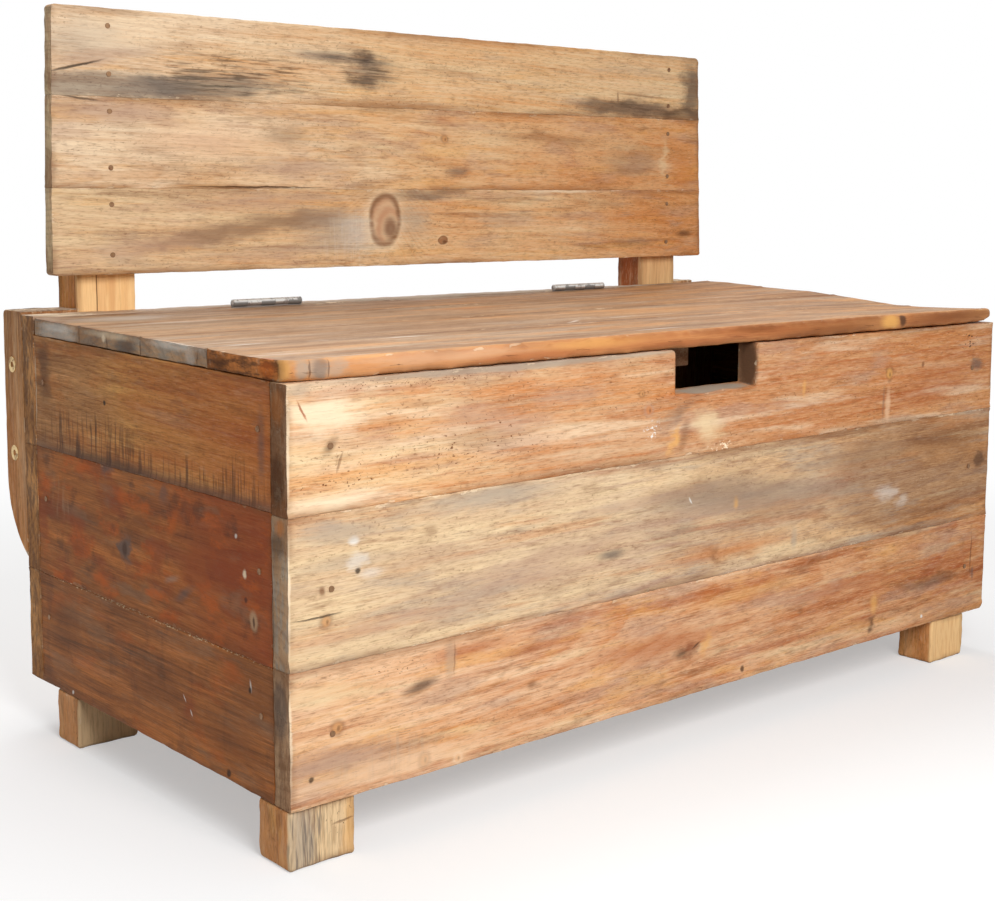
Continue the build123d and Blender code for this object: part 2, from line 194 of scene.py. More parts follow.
class Nodes:
    """The node tree of one material or world, filled a node at a time."""

    def __init__(self, owner):
        owner.use_nodes = True
        self.tree = owner.node_tree
        self.tree.nodes.clear()

    def add(self, kind, settings=None, sockets=None, out=0):
        """Add a node of this type, set its settings, then fill its sockets with values or links."""
        node = self.tree.nodes.new(kind)
        for key, value in (settings or {}).items():
            if key == "stops":
                ramp = node.color_ramp.elements
                while len(ramp) < len(value):
                    ramp.new(1.0)
                for element, (position, colour) in zip(ramp, value):
                    element.position = position
                    element.color = (*colour, 1.0)
            else:
                setattr(node, key, value)
        for key, value in (sockets or {}).items():
            socket = node.inputs[key]
            if isinstance(value, Wire):
                self.tree.links.new(value.socket, socket)
            elif socket.type == "RGBA" and len(value) == 3:
                socket.default_value = (*value, 1.0)
            else:
                socket.default_value = value
        return Wire(self, node.outputs[out]) if len(node.outputs) else None

    def mix(self, first, second, share):
        """Colour between two colours."""
        return self.add("ShaderNodeMix", {"data_type": "RGBA"}, {0: share, 6: first, 7: second}, out=2)

    def vector(self, operation, first, second):
        return self.add("ShaderNodeVectorMath", {"operation": operation}, {0: first, 1: second})

    def length(self, vector):
        return self.add("ShaderNodeVectorMath", {"operation": "LENGTH"}, {0: vector}, out="Value")

    def placed(self, vector, place, turn, reach):
        """Coordinates in which a place is the origin and its reach is one."""
        sockets = {"Vector": vector, "Location": place, "Rotation": (0.0, 0.0, turn), "Scale": reach}
        return self.add("ShaderNodeMapping", {"vector_type": "TEXTURE"}, sockets)

    def noise(self, vector, reach, detail=2.0, roughness=0.5, out="Fac"):
        """Noise whose lumps have about these lengths along the three axes."""
        scaled = self.vector("DIVIDE", vector, reach)
        sockets = {"Vector": scaled, "Scale": 1.0, "Detail": detail, "Roughness": roughness}
        return self.add("ShaderNodeTexNoise", {"noise_dimensions": "3D"}, sockets, out=out)

    def attribute(self, name):
        return self.add("ShaderNodeAttribute", {"attribute_name": name}, out="Fac")


# Wood

Grain = namedtuple(
    "Grain",
    "pith slope ring contrast band grime bleach pepper",
    defaults=(0.3, 1.5, 0.3, 0.2, 0.4),
)
Grain.__doc__ = """How a board lies in its log, in mm: the heart's place across and below the board, its slope
and the rings' spacing. Then how strongly the rings, broad bands, grime, bleaching and specks show."""

Patch = namedtuple("Patch", "colour cover strength reach", defaults=(0.5, (150.0, 30.0)))
Patch.__doc__ = """A tone on about this share of a board, in clouds of about this length and width in mm."""

FACE_DEPTH = 7.0  # a mark reaches this far into a board, so its other face stays clean
KNOT_DEPTH = 40.0  # a knot goes through the whole board
FINE_MARK = 9.0  # a mark narrower than this keeps close to its drawn outline
UPRIGHT = 1.57  # turn of a line that stands across the board
LEFT_END = -430  # the bench's left end


def kind_of_mark(name, fields, *defaults):
    """A mark by hand: its place along and across a board, its reach both ways in mm, its colour and more."""
    return namedtuple(name, f"place reach colour {fields}", defaults=defaults)


Stain = kind_of_mark("Stain", "strength soft turn deep", 0.7, 0.1, 0.0, FACE_DEPTH)
Line = kind_of_mark("Line", "strength turn drop deep", 0.9, 0.0, 0.6, FACE_DEPTH)
Knot = kind_of_mark("Knot", "")
Specks = kind_of_mark("Specks", "size share", 0.36)
Saw = kind_of_mark("Saw", "spacing strength lengthwise", 0.5, False)
Look = namedtuple(
    "Look",
    "grain tones patches marks ends edge chips end_marks",
    defaults=((), (), ("umber", "bark"), None, "cream", ()),
)
Look.__doc__ = """One board's finish: its grain, the two tones of its wood at places along it, patches, marks,
the two tones of its sawn ends, a tone towards one edge, the tone of bare wood where an arris is chipped, and
marks on its sawn ends."""


def end_stain(across, depth, reach, colour, strength, soft, deep=7.5):
    """A stain on a board's sawn left end."""
    return Stain((LEFT_END, across, depth), reach, colour, strength, soft, 0.0, deep)


def plug(place, radius, rim="umber", core="honey"):
    """An old filled hole: a soft rim, a core of another tone and a dark speck a little off its middle."""
    x, z = place
    return (
        Stain(place, (1.7 * radius,) * 2, rim, 0.5, 0.4),
        Stain(place, (1.1 * radius,) * 2, core, 0.6, 0.4),
        Stain((x + 0.2 * radius, z - 0.1 * radius), (0.4 * radius, 0.6 * radius), "bark", 0.5, 0.2),
    )


class WoodFinish:
    """Wood that is solid all through: rings, fibres and marks are worked out in the board's own mm."""

    def __init__(self, name, axes, face, seed, colours):
        self.material = bpy.data.materials.new(name)
        self.colours = colours
        self.nodes = nodes = Nodes(self.material)
        object_place = nodes.add("ShaderNodeTexCoord", out="Object")
        sockets = {0: object_place, "Scale": 1.0 / MM}
        scaled = nodes.add("ShaderNodeVectorMath", {"operation": "SCALE"}, sockets)
        split = nodes.add("ShaderNodeSeparateXYZ", {}, {0: scaled}).socket.node.outputs
        along, across, depth = (Wire(nodes, split[axis]) for axis in axes)
        self.along, self.across, self.depth = along, across, depth - face
        self.place = nodes.add("ShaderNodeCombineXYZ", {}, {0: along, 1: across, 2: self.depth})
        rng = np.random.default_rng(seed)
        self.seeded = nodes.vector("ADD", self.place, tuple(rng.uniform(-4000, 4000, 3)))

    def colour_of(self, name):
        return tuple(getattr(self.colours, name))

    def lumps(self, long, wide, detail=2.0, roughness=0.5, out="Fac"):
        """Noise in lumps of about this length along the board and this width across it, in mm."""
        return self.nodes.noise(self.seeded, (long, wide, wide), detail, roughness, out)

    def lay_grain(self, look, middle, knots):
        """Rings round the heart, which bend round knots, fibres and streaks along the board and a tone that
        drifts along it."""
        nodes, grain, tones = self.nodes, look.grain, look.tones
        bend = self.lumps(300.0, 110.0, 1.0) - 0.5
        ripple = self.lumps(75.0, 14.0, 2.0) - 0.5
        ride = self.along - middle[0]
        aside = self.across - (middle[1] + grain.pith[0]) - ride * grain.slope[0]
        below = self.depth - grain.pith[1] - ride * grain.slope[1]
        radius = (aside * aside + below * below).root()
        radius = radius + bend * 32.0 + ripple * 4.0
        for knot in knots:
            near = self.knot_distance(self.place, knot, knot.place)
            spread = 1.0 - (near / 3.2).between(0.0, 1.0)
            radius = radius + spread * (knot.reach[1] * 1.6)
        turns = radius / grain.ring
        count = turns.whole()
        share = turns - count
        late = share.between(0.3, 0.92) - share.between(0.93, 1.0)
        each = nodes.add("ShaderNodeTexWhiteNoise", {"noise_dimensions": "1D"}, {"W": count}, out="Value")
        self.late = late * (each * 0.75 + 0.25)
        self.fibre = self.lumps(34.0, 1.1, 3.0, 0.6)
        self.streak = self.lumps(210.0, 6.5, 3.0, 0.6)
        self.cloud = self.lumps(150.0, 60.0, 3.0, 0.55)
        rag = self.lumps(30.0, 16.0, 4.0, 0.6, out="Color")
        shift = nodes.vector("SUBTRACT", rag, (0.5, 0.5, 0.5))
        wide = nodes.vector("MULTIPLY", shift, (46.0, 18.0, 0.0))
        fine = nodes.vector("MULTIPLY", shift, (5.0, 4.0, 0.0))
        self.ragged = nodes.vector("ADD", self.place, wide)
        self.close = nodes.vector("ADD", self.place, fine)
        self.grit = (self.fibre - 0.5) * 0.7 + (self.streak - 0.5) * 0.5
        band = self.lumps(420.0, 24.0, 3.0, 0.6)
        shade = (self.late - 0.3) * grain.contrast + (self.fibre - 0.5) * 1.1
        shade = (shade + (self.streak - 0.5) * 1.0 + (band - 0.5) * grain.band + 0.5).limited()
        start, span = tones[0][0], tones[-1][0] - tones[0][0]
        spot = (self.along + (self.cloud - 0.5) * (0.9 * span) - start) / span
        pair = [
            nodes.add(
                "ShaderNodeValToRGB",
                {"stops": [((tone[0] - start) / span, self.colour_of(tone[which])) for tone in tones]},
                {0: spot},
            )
            for which in (1, 2)
        ]
        self.colour = nodes.mix(pair[0], pair[1], shade)
        blot = self.lumps(130.0, 17.0, 4.0, 0.68)
        self.tint("cream", (1.0 - blot.between(0.3, 0.47)) * grain.bleach)
        self.tint("umber", blot.between(0.5, 0.72) * grain.grime)
        for number, patch in enumerate(look.patches):
            self.patch(number, patch)
        mottle = self.lumps(19.0, 7.0, 4.0, 0.7)
        self.tint("umber", mottle.between(0.5, 0.74) * 0.28)
        self.tint("cream", (1.0 - mottle.between(0.26, 0.5)) * (0.5 * grain.bleach))
        dash = self.lumps(9.0, 1.0, 2.0, 0.6)
        self.tint("umber", dash.between(0.52, 0.72) * 0.36)
        self.tint("cream", (1.0 - dash.between(0.3, 0.46)) * (0.9 * grain.bleach))
        pepper = self.lumps(3.6, 2.1, 2.0, 0.5)
        self.tint("umber", pepper.between(0.61, 0.7) * blot.between(0.42, 0.6) * grain.pepper)
        self.height = self.late * 0.05 + self.fibre * 0.14 + self.streak * 0.1 + mottle * 0.12
        self.height = self.height - dash.between(0.56, 0.74) * 0.12
        self.rough = 0.5 + self.fibre * 0.22

    def patch(self, number, patch):
        """A cloud of another tone, with its edges drawn out along the fibres."""
        nodes = self.nodes
        moved = nodes.vector("ADD", self.seeded, (517.0 * number + 77.0, 191.0 * number, 43.0 * number))
        field = nodes.noise(moved, (*patch.reach, patch.reach[1]), 4.0, 0.62)
        edge = 0.5 + 0.3 * (0.5 - patch.cover)
        inside = (field + self.grit * 0.22).between(edge - 0.05, edge + 0.1)
        self.tint(patch.colour, inside * patch.strength)

    def tint(self, colour, share):
        self.colour = self.nodes.mix(self.colour, self.colour_of(colour), share)

    def mark(self, mark):
        """A mark by hand within an ellipse: a cut line, a stain, a cloud of specks or saw marks."""
        nodes = self.nodes
        where = self.close if min(mark.reach) < FINE_MARK else self.ragged
        turn, deep = getattr(mark, "turn", 0.0), getattr(mark, "deep", FACE_DEPTH)
        place = (*mark.place, 0.0)[:3]
        away = nodes.length(nodes.placed(where, place, turn, (*mark.reach, deep)))
        if isinstance(mark, Line):
            inside = 1.0 - away.between(0.3, 1.0)
            self.tint(mark.colour, inside * mark.strength)
            self.height = self.height - inside * mark.drop
        elif isinstance(mark, Stain):
            inside = 1.0 - (away + self.grit * (1.0 - mark.soft)).between(mark.soft, 1.0)
            self.tint(mark.colour, inside * mark.strength)
        elif isinstance(mark, Specks):
            dots = nodes.noise(self.seeded, (mark.size * 1.6, mark.size, mark.size), 2.0, 0.6)
            inside = (1.0 - away.between(0.5, 1.0)) * dots.between(1.0 - mark.share, 1.08 - mark.share)
            self.tint(mark.colour, inside)
        elif isinstance(mark, Saw):
            reach = (mark.spacing, mark.spacing * 14.0, 20.0)
            if mark.lengthwise:
                reach = (mark.spacing * 14.0, mark.spacing, 20.0)
            lines = nodes.noise(self.seeded, reach, 2.0, 0.6)
            inside = (1.0 - away.between(0.4, 1.0)) * lines.between(0.46, 0.66)
            self.tint(mark.colour, inside * mark.strength)
            self.height = self.height - inside * 0.15

    def knot_distance(self, where, knot, middle):
        """Distance from a place in or by a knot, in units of the knot's reach."""
        sizes = (*knot.reach, KNOT_DEPTH)
        return self.nodes.length(self.nodes.placed(where, (*middle, 0.0), 0.0, sizes))

    def knot(self, knot):
        """A knot: a body of its own tone with faint growth rings round a dark heart off its middle, an uneven
        dark rim and a faint pale halo."""
        skin = self.knot_distance(self.close, knot, knot.place) + (self.cloud - 0.5) * 0.7
        side = (knot.place[0] + 0.3 * knot.reach[0], knot.place[1] - 0.3 * knot.reach[1])
        heart = self.knot_distance(self.close, knot, side) + self.grit * 0.3
        body = 1.0 - skin.between(0.75, 1.0)
        rings = (heart * 11.0).wave() * 0.5 + 0.5
        rim = skin.between(0.7, 0.92) - skin.between(0.95, 1.15)
        halo = skin.between(0.9, 1.1) - skin.between(1.15, 1.6)
        self.tint("cream", halo * 0.1)
        self.tint(knot.colour, body * 0.65)
        self.tint("rust", body * rings * 0.3)
        self.tint("umber", rim * (self.streak.between(0.3, 0.6) * 0.4 + 0.35))
        self.tint("bark", (1.0 - heart.between(0.15, 0.6)) * 0.55)
        self.height = self.height + body * rings * 0.06 - rim * 0.25

    def wear(self, look):
        """Rough sawn ends from the end_grain attribute, then chips and grime along the arrises from the arris
        attribute, which gives how many mm a point lies from the nearest one."""
        nodes = self.nodes
        end = (nodes.attribute("end_grain") + self.grit * 0.3).between(0.1, 0.5)
        sawn = nodes.noise(self.seeded, (6.0, 20.0, 5.0), 4.0, 0.68)
        tone = nodes.mix(self.colour_of(look.ends[0]), self.colour_of(look.ends[1]), sawn.between(0.4, 0.6))
        self.colour = nodes.mix(self.colour, tone, end * 0.9)
        pits = nodes.noise(self.seeded, (3.0, 5.0, 2.2), 3.0, 0.6)
        self.tint("bark", end * (self.late * 0.2 + pits.between(0.54, 0.74) * 0.32))
        self.rough = self.rough + end * 0.25
        self.height = self.height - end * (sawn * 0.7 + pits * 0.4)
        near = nodes.attribute("arris")
        chip = self.lumps(20.0, 7.0, 4.0, 0.65)
        bite = chip.between(0.5, 0.74) * 4.0 - 0.5
        chipped = 1.0 - (near - bite).between(-0.4, 0.4)
        self.tint(look.chips, chipped * (0.42 - end * 0.32))
        self.height = self.height - chipped * 0.3
        grime = (1.0 - near.between(0.0, 8.0)) * self.cloud.between(0.42, 0.62)
        self.tint("umber", grime * 0.5)

    def done(self):
        """Bring colour, roughness and height together in one surface."""
        nodes = self.nodes
        relief = {"Height": self.height, "Strength": 1.0, "Distance": MM}
        sockets = {
            "Base Color": self.colour,
            "Roughness": self.rough,
            "Normal": nodes.add("ShaderNodeBump", {}, relief),
            "Specular IOR Level": 0.18,
        }
        surface = nodes.add("ShaderNodeBsdfPrincipled", {}, sockets)
        nodes.add("ShaderNodeOutputMaterial", {}, {"Surface": surface})
        return self.material


def wood(context, name, axes, face, seed, middle, look):
    """A finished wood material for one board, in coordinates along it, across it and down from its face."""
    finish = WoodFinish(name, axes, face, seed, context.scene.bench_colours)
    knots = [mark for mark in look.marks if isinstance(mark, Knot)]
    finish.lay_grain(look, middle, knots)
    if look.edge:
        colour, full, none, strength = look.edge
        share = ((finish.across - full) / (none - full) + finish.grit * 0.5).between(0.0, 1.0)
        near = (1.0 - share) * strength
        finish.tint(colour, near * (finish.fibre * 0.9 + finish.streak * 0.8).limited())
        finish.tint("amber", near * finish.late * 0.25)
    for mark in look.marks:
        if not isinstance(mark, Knot):
            finish.mark(mark)
    if look.chips:
        finish.wear(look)
    for mark in look.end_marks:
        finish.mark(mark)
    for knot in knots:
        finish.knot(knot)
    return finish.done()


# Boards

SECTION_STEP = 7.0  # distance between a section's points, in mm
CORNER_STEPS = 3  # steps round a section's corner
EDGE_SPANS = (260.0, 110.0, 47.0, 23.0)  # wavelengths along an edge, in mm
ARRIS_SPANS = (90.0, 37.0, 14.0)  # of the change in an arris's radius
FACE_SPANS = (400.0, 170.0, 80.0)  # over a face
END_SPANS = (61.0, 23.0, 11.0)  # over a sawn end
END_REACH = 9.0  # an end's waves die away over this length
ARRIS_CHANGE = 0.7  # how much an arris's radius varies, as a share of it
HOLE_SIDES = 32  # sides of the circle that cuts a round hole
ROW_EDGES = (50, 51)  # added to a board's seed for its edges in a row, so neighbours share one
FREE_EDGES = (3, 4)


def waves(along, across, seed, spans, amount):
    """Gentle unevenness: the mean of sine waves over a board times an amount. Each has its own wavelength
    along the board, a seeded phase, and a seeded lean by which the phase also moves across it."""
    rng = np.random.default_rng(seed)
    total = np.zeros(np.broadcast(along, across).shape)
    for span in spans:
        lean, shift = rng.uniform(-1.0, 1.0), rng.uniform(0.0, 2.0 * np.pi)
        total += np.sin(2.0 * np.pi * (along + 4.0 * lean * across) / span + shift)
    return amount * total / len(spans)


def section(wide, thick):
    """A rounded rectangle as weights: how much of the straight half width and half thickness each point
    takes, how much of the corner's radius in both directions, which corner it belongs to, and its face."""
    angle = np.linspace(0.0, np.pi / 2.0, CORNER_STEPS + 1)
    step = np.linspace(-1.0, 1.0, wide + 2)[1:-1]
    across = 0.5 * step + 0.5 * np.sin(step * np.pi / 2.0)
    rise = np.linspace(-1.0, 1.0, thick + 2)[1:-1]
    rows = []
    for corner, (w, t) in enumerate(((1, 1), (-1, 1), (-1, -1), (1, -1))):
        spin = angle + corner * np.pi / 2.0
        arc = (w, t, np.cos(spin), np.sin(spin), corner, 0.0)
        side = (-across * t, t, 0.0, t, corner, t) if corner % 2 == 0 else (w, rise * w, w, 0.0, corner, 0.0)
        rows += [np.stack(np.broadcast_arrays(*weights)) for weights in (arc, side)]
    return np.concatenate(rows, axis=1)


def carry(name, frame_axes, origin, track, thickness, radii, seed, sizes, edges, corners, lift, sink):
    """A section carried along a board. Each row of track is one station: its place along the board, its lower
    and upper edge across it and how far the section is drawn in there, which rounds the ends. A point's place
    across is the middle plus its weights times the half width and the corner radius, and likewise through the
    thickness. Waves then wander the edges, ends and faces, corner offsets are spread over the board as
    straight blends, and lift bends it, all as whole arrays."""
    along_axis, across_axis, depth_axis = frame_axes
    place, lower, upper, inset = (column[:, None] for column in track.T)
    width = float(np.max(upper - lower))
    wide, thick = max(3, int(width / SECTION_STEP)), max(2, int(thickness / SECTION_STEP))
    w, t, cw, ct, corner, face = section(wide, thick)
    corner = corner.astype(int)
    flat = np.abs(face) > 0
    worn = [waves(place[:, 0], 0.0, seed + 11 * k, ARRIS_SPANS, 1.0) for k in range(4)]
    radius = np.asarray(radii)[None, :] * (1.0 + ARRIS_CHANGE * np.stack(worn, axis=1))
    half = (upper - lower) / 2.0 - inset
    deep = thickness / 2.0 - inset
    limit = 0.92 * np.minimum(half, deep)
    radius = np.clip(radius[:, corner] - 0.8 * inset, 0.2, limit)
    wander = sizes.ragged / MM
    below, above = (waves(place, 0.0, edge, EDGE_SPANS, wander) for edge in edges)
    edge = np.where(w > 0, above, below)
    across = (upper + lower) / 2.0 + w * (half - radius) + cw * radius + edge * np.abs(w)
    depth = t * (deep - radius) + ct * radius
    depth = depth - np.where(face > 0, sink[1], sink[0]) * np.sign(t) * sizes.sink / MM * flat
    swell = waves(place, across, seed + 5, FACE_SPANS, sizes.swell / MM)
    depth = depth + np.where(flat, np.sign(face) * (swell - sizes.swell / MM), 0.0)
    along = place + 0.0 * across
    ends = np.minimum(along - place.min(), place.max() - along)
    sides = np.maximum(np.minimum(across - lower, upper - across), 0.0)
    faces = np.maximum(thickness / 2.0 - np.abs(depth), 0.0)
    arris = np.sort(np.stack([ends, sides, faces]), axis=0)[1]
    sawn = np.clip(inset / np.where(place < 0.0, max(inset[0, 0], 0.01), max(inset[-1, 0], 0.01)), 0.0, 1.0)
    rough = waves(across, depth, seed + 7, END_SPANS, wander)
    along = along + np.clip(1.0 - ends / END_REACH, 0.0, 1.0) * rough
    if corners is not None:
        u = (place - place.min()) / np.ptp(place)
        v = (across - lower.min()) / width
        blend = ((1 - u) * (1 - v), (1 - u) * v, u * (1 - v), u * v)
        along = along + sum(part * offset[0] for part, offset in zip(blend, corners))
        across = across + sum(part * offset[1] for part, offset in zip(blend, corners))
    spot = np.zeros((*along.shape, 3))
    spot[..., along_axis] = origin[along_axis] + along
    spot[..., across_axis] = origin[across_axis] + across
    spot[..., depth_axis] = origin[depth_axis] + depth
    if lift is not None:
        spot[..., Z] += lift(spot[..., X], spot[..., Y], spot[..., Z])
    return shell(name, spot, arris, sawn + 0.0 * along)


def shell(name, spot, arris, sawn):
    """A closed mesh from a grid of points, stations by section points, with a flat cap at each end."""
    stations, around = spot.shape[:2]
    index = np.arange(stations * around).reshape(stations, around)
    ahead = np.roll(index, -1, axis=1)
    quads = np.stack([index[:-1], ahead[:-1], ahead[1:], index[1:]], axis=-1).reshape(-1, 4)
    flat = spot.reshape(-1, 3)
    middle = flat.mean(axis=0)
    a, b, c = (flat[quads[:, k]] - middle for k in (0, 1, 2))
    outward = np.einsum("ij,ij->i", a, np.cross(b, c)).sum() > 0
    caps = [index[0, ::-1].tolist(), index[-1].tolist()]
    if not outward:
        quads = quads[:, ::-1]
        caps = [cap[::-1] for cap in caps]
    mesh = bpy.data.meshes.new(name)
    mesh.from_pydata(flat * MM, [], quads.tolist() + caps)
    mesh.polygons.foreach_set("use_smooth", np.ones(len(mesh.polygons), dtype=bool))
    for key, values in (("arris", arris), ("end_grain", sawn)):
        layer = mesh.attributes.new(key, "FLOAT", "POINT")
        layer.data.foreach_set("value", values.ravel().astype(np.float32))
    mesh.update()
    mesh.set_sharp_from_angle(angle=SHARP_ANGLE)
    piece = bpy.data.objects.new(name, mesh)
    bpy.context.scene.collection.objects.link(piece)
    return piece


def drill(piece, places, radius, start, end):
    """Round holes along Y through a piece at places in X and Z. Each cutter is a circle carried from one
    depth to another."""
    turn = np.linspace(0.0, 2.0 * np.pi, HOLE_SIDES, endpoint=False)
    ring = radius * np.stack([np.cos(turn), 0.0 * turn, np.sin(turn)], axis=1)
    cutters = []
    for x, z in places:
        spot = np.stack([ring + (x, start, z), ring + (x, end, z)])
        blank = np.zeros((2, HOLE_SIDES))
        cutter = shell(f"{piece.name}_cutter", spot, blank, blank)
        hole = piece.modifiers.new("hole", "BOOLEAN")
        hole.operation, hole.solver, hole.object = "DIFFERENCE", "EXACT", cutter
        cutters.append(cutter)
    view = bpy.context.evaluated_depsgraph_get()
    cut = bpy.data.meshes.new_from_object(piece.evaluated_get(view))
    piece.modifiers.clear()
    solid, piece.data = piece.data, cut
    cut.set_sharp_from_angle(angle=SHARP_ANGLE)
    for mesh in [solid] + [cutter.data for cutter in cutters]:
        bpy.data.meshes.remove(mesh)


def station_places(length, ease, step):
    """Places along a board and how far the section is drawn in at each: a quarter circle over each end,
    then close stations, then even ones."""
    turn = np.linspace(0.0, np.pi / 2.0, 4)
    end = ease * (1.0 - np.cos(turn))
    drawn = ease * (1.0 - np.sin(turn))
    near = np.array([2.0, 4.5, 9.0]) + ease
    count = max(2, int((length - 2 * near[-1]) / step))
    inner = np.linspace(near[-1], length - near[-1], count + 1)[1:-1]
    place = np.concatenate([end, near, inner, length - near[::-1], length - end[::-1]]) - length / 2.0
    inset = np.concatenate([drawn, np.zeros(len(near) * 2 + len(inner)), drawn[::-1]])
    return place, inset


def rounded(lower=(0.0, 0.0), upper=(0.0, 0.0)):
    """A shape whose lower and upper edges turn rounded corners at the start and the end: near an end the edge
    is drawn in by the radius less the height of a quarter circle there."""

    def shape(track, origin):
        start, end = track[0, 0], track[-1, 0]
        turn = np.linspace(0.0, np.pi / 2.0, 7)
        near = max(*lower, *upper) * (1.0 - np.cos(turn))
        inner = track[(track[:, 0] > start + near[-1] + 1.0) & (track[:, 0] < end - near[-1] - 1.0), 0]
        place = np.concatenate([start + near, inner, end - near[::-1]])
        drawn = np.zeros((2, len(place)))
        for row, radii in zip(drawn, (lower, upper)):
            for radius, away in zip(radii, (place - start, end - place)):
                row += radius - np.sqrt(radius**2 - np.clip(radius - away, 0.0, radius) ** 2)
        inset = np.zeros_like(place)
        inset[[0, -1]] = track[[0, -1], 3]
        inset[[1, -2]] = track[[0, -1], 3] / 4.0
        return np.stack([place, track[:, 1].min() + drawn[0], track[:, 2].max() - drawn[1], inset], axis=1)

    return shape


def node_box(node):
    """A CAD node's lower and upper corner in mm."""
    low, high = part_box(node)
    return np.array(low) / MM, np.array(high) / MM


def plank(
    context,
    node,
    axes,
    seed,
    in_row=False,
    corners=None,
    lift=None,
    radii=None,
    shape=None,
    sink=(1, 1),
    turn=None,
):
    """A straight worn board in the place of a CAD node. Boards in a row share the seed of the edge where they
    meet, and reach a little into the joint. shape may change its stations, and turn gives its ends another
    radius."""
    sizes = context.scene.bench_sizes
    low, high = node_box(node)
    origin, size = (low + high) / 2.0, high - low
    ease = sizes.ease / MM
    place, inset = station_places(size[axes[0]], turn or ease, sizes.step / MM)
    half = np.full_like(place, size[axes[1]] / 2.0 + (sizes.joint / MM if in_row else 0.0))
    track = np.stack([place, -half, half, inset], axis=1)
    if shape is not None:
        track = shape(track, origin)
    radii = (ease,) * 4 if radii is None else radii
    edges = [seed + step for step in (ROW_EDGES if in_row else FREE_EDGES)]
    name = f"worn_{node}"
    return carry(name, axes, origin, track, size[axes[2]], radii, seed, sizes, edges, corners, lift, sink)


def fit(piece, material, body, slot, *nodes):
    """Give a piece its material, and let it stand for its CAD nodes and move with their body."""
    piece.data.materials.append(material)
    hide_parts(*nodes)
    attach(piece, body)


def board(context, node, axes, face, seed, look, slot, body="bench", pattern=None, holes=(), **shape):
    """A worn board in the place of a CAD node, drilled and finished. Boards cut from one wide pattern give
    its seed and its middle."""
    piece = plank(context, node, axes, seed, **shape)
    if holes:
        drill(piece, holes, NUT_RADIUS, NUT_FRONT, NUT_REAR)
    low, high = node_box(node)
    grain_seed, middle = pattern or (seed, (low + high)[list(axes[:2])] / 2.0)
    fit(piece, wood(context, node, axes, face, grain_seed, middle, look), body, slot, node)


def dress(node, material):
    """Give a CAD node that stays another material."""
    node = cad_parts[node]
    node.data.materials.clear()
    node.data.materials.append(material)


# Front wall

FRONT_FACE = -228.0
FRONT_ARRIS = -429.3  # the pale arris at the boards' left end
FRONT_SEED = 100
FRONT_CORNERS = {
    "bottom": ((0.5, -0.5), (0.0, 1.0), (0.0, 0.0), (0.0, 1.0)),
    "middle": ((0.0, 1.0), (0.0, -1.2), (0.0, 1.0), (0.0, 2.2)),
    "top": ((0.0, -1.2), (0.0, 0.0), (0.0, 2.2), (-1.0, -1.0)),
}
FRONT_TOP = 345.0
NOTCH_LOW, NOTCH_HIGH = -47.0, 57.0
NOTCH_DEPTH = 36.0
NOTCH_ROUND = 4.0
NOTCH_STATIONS = 16  # sections along the notch's floor
NOTCH_FALL, NOTCH_RUN = 2.7, 16.0  # how far the floor falls to the front, and over what depth, in mm
NOTCH_WAVE, NOTCH_SPAN = 0.8, 9.0  # height of the waves along the floor, and their length for one radian
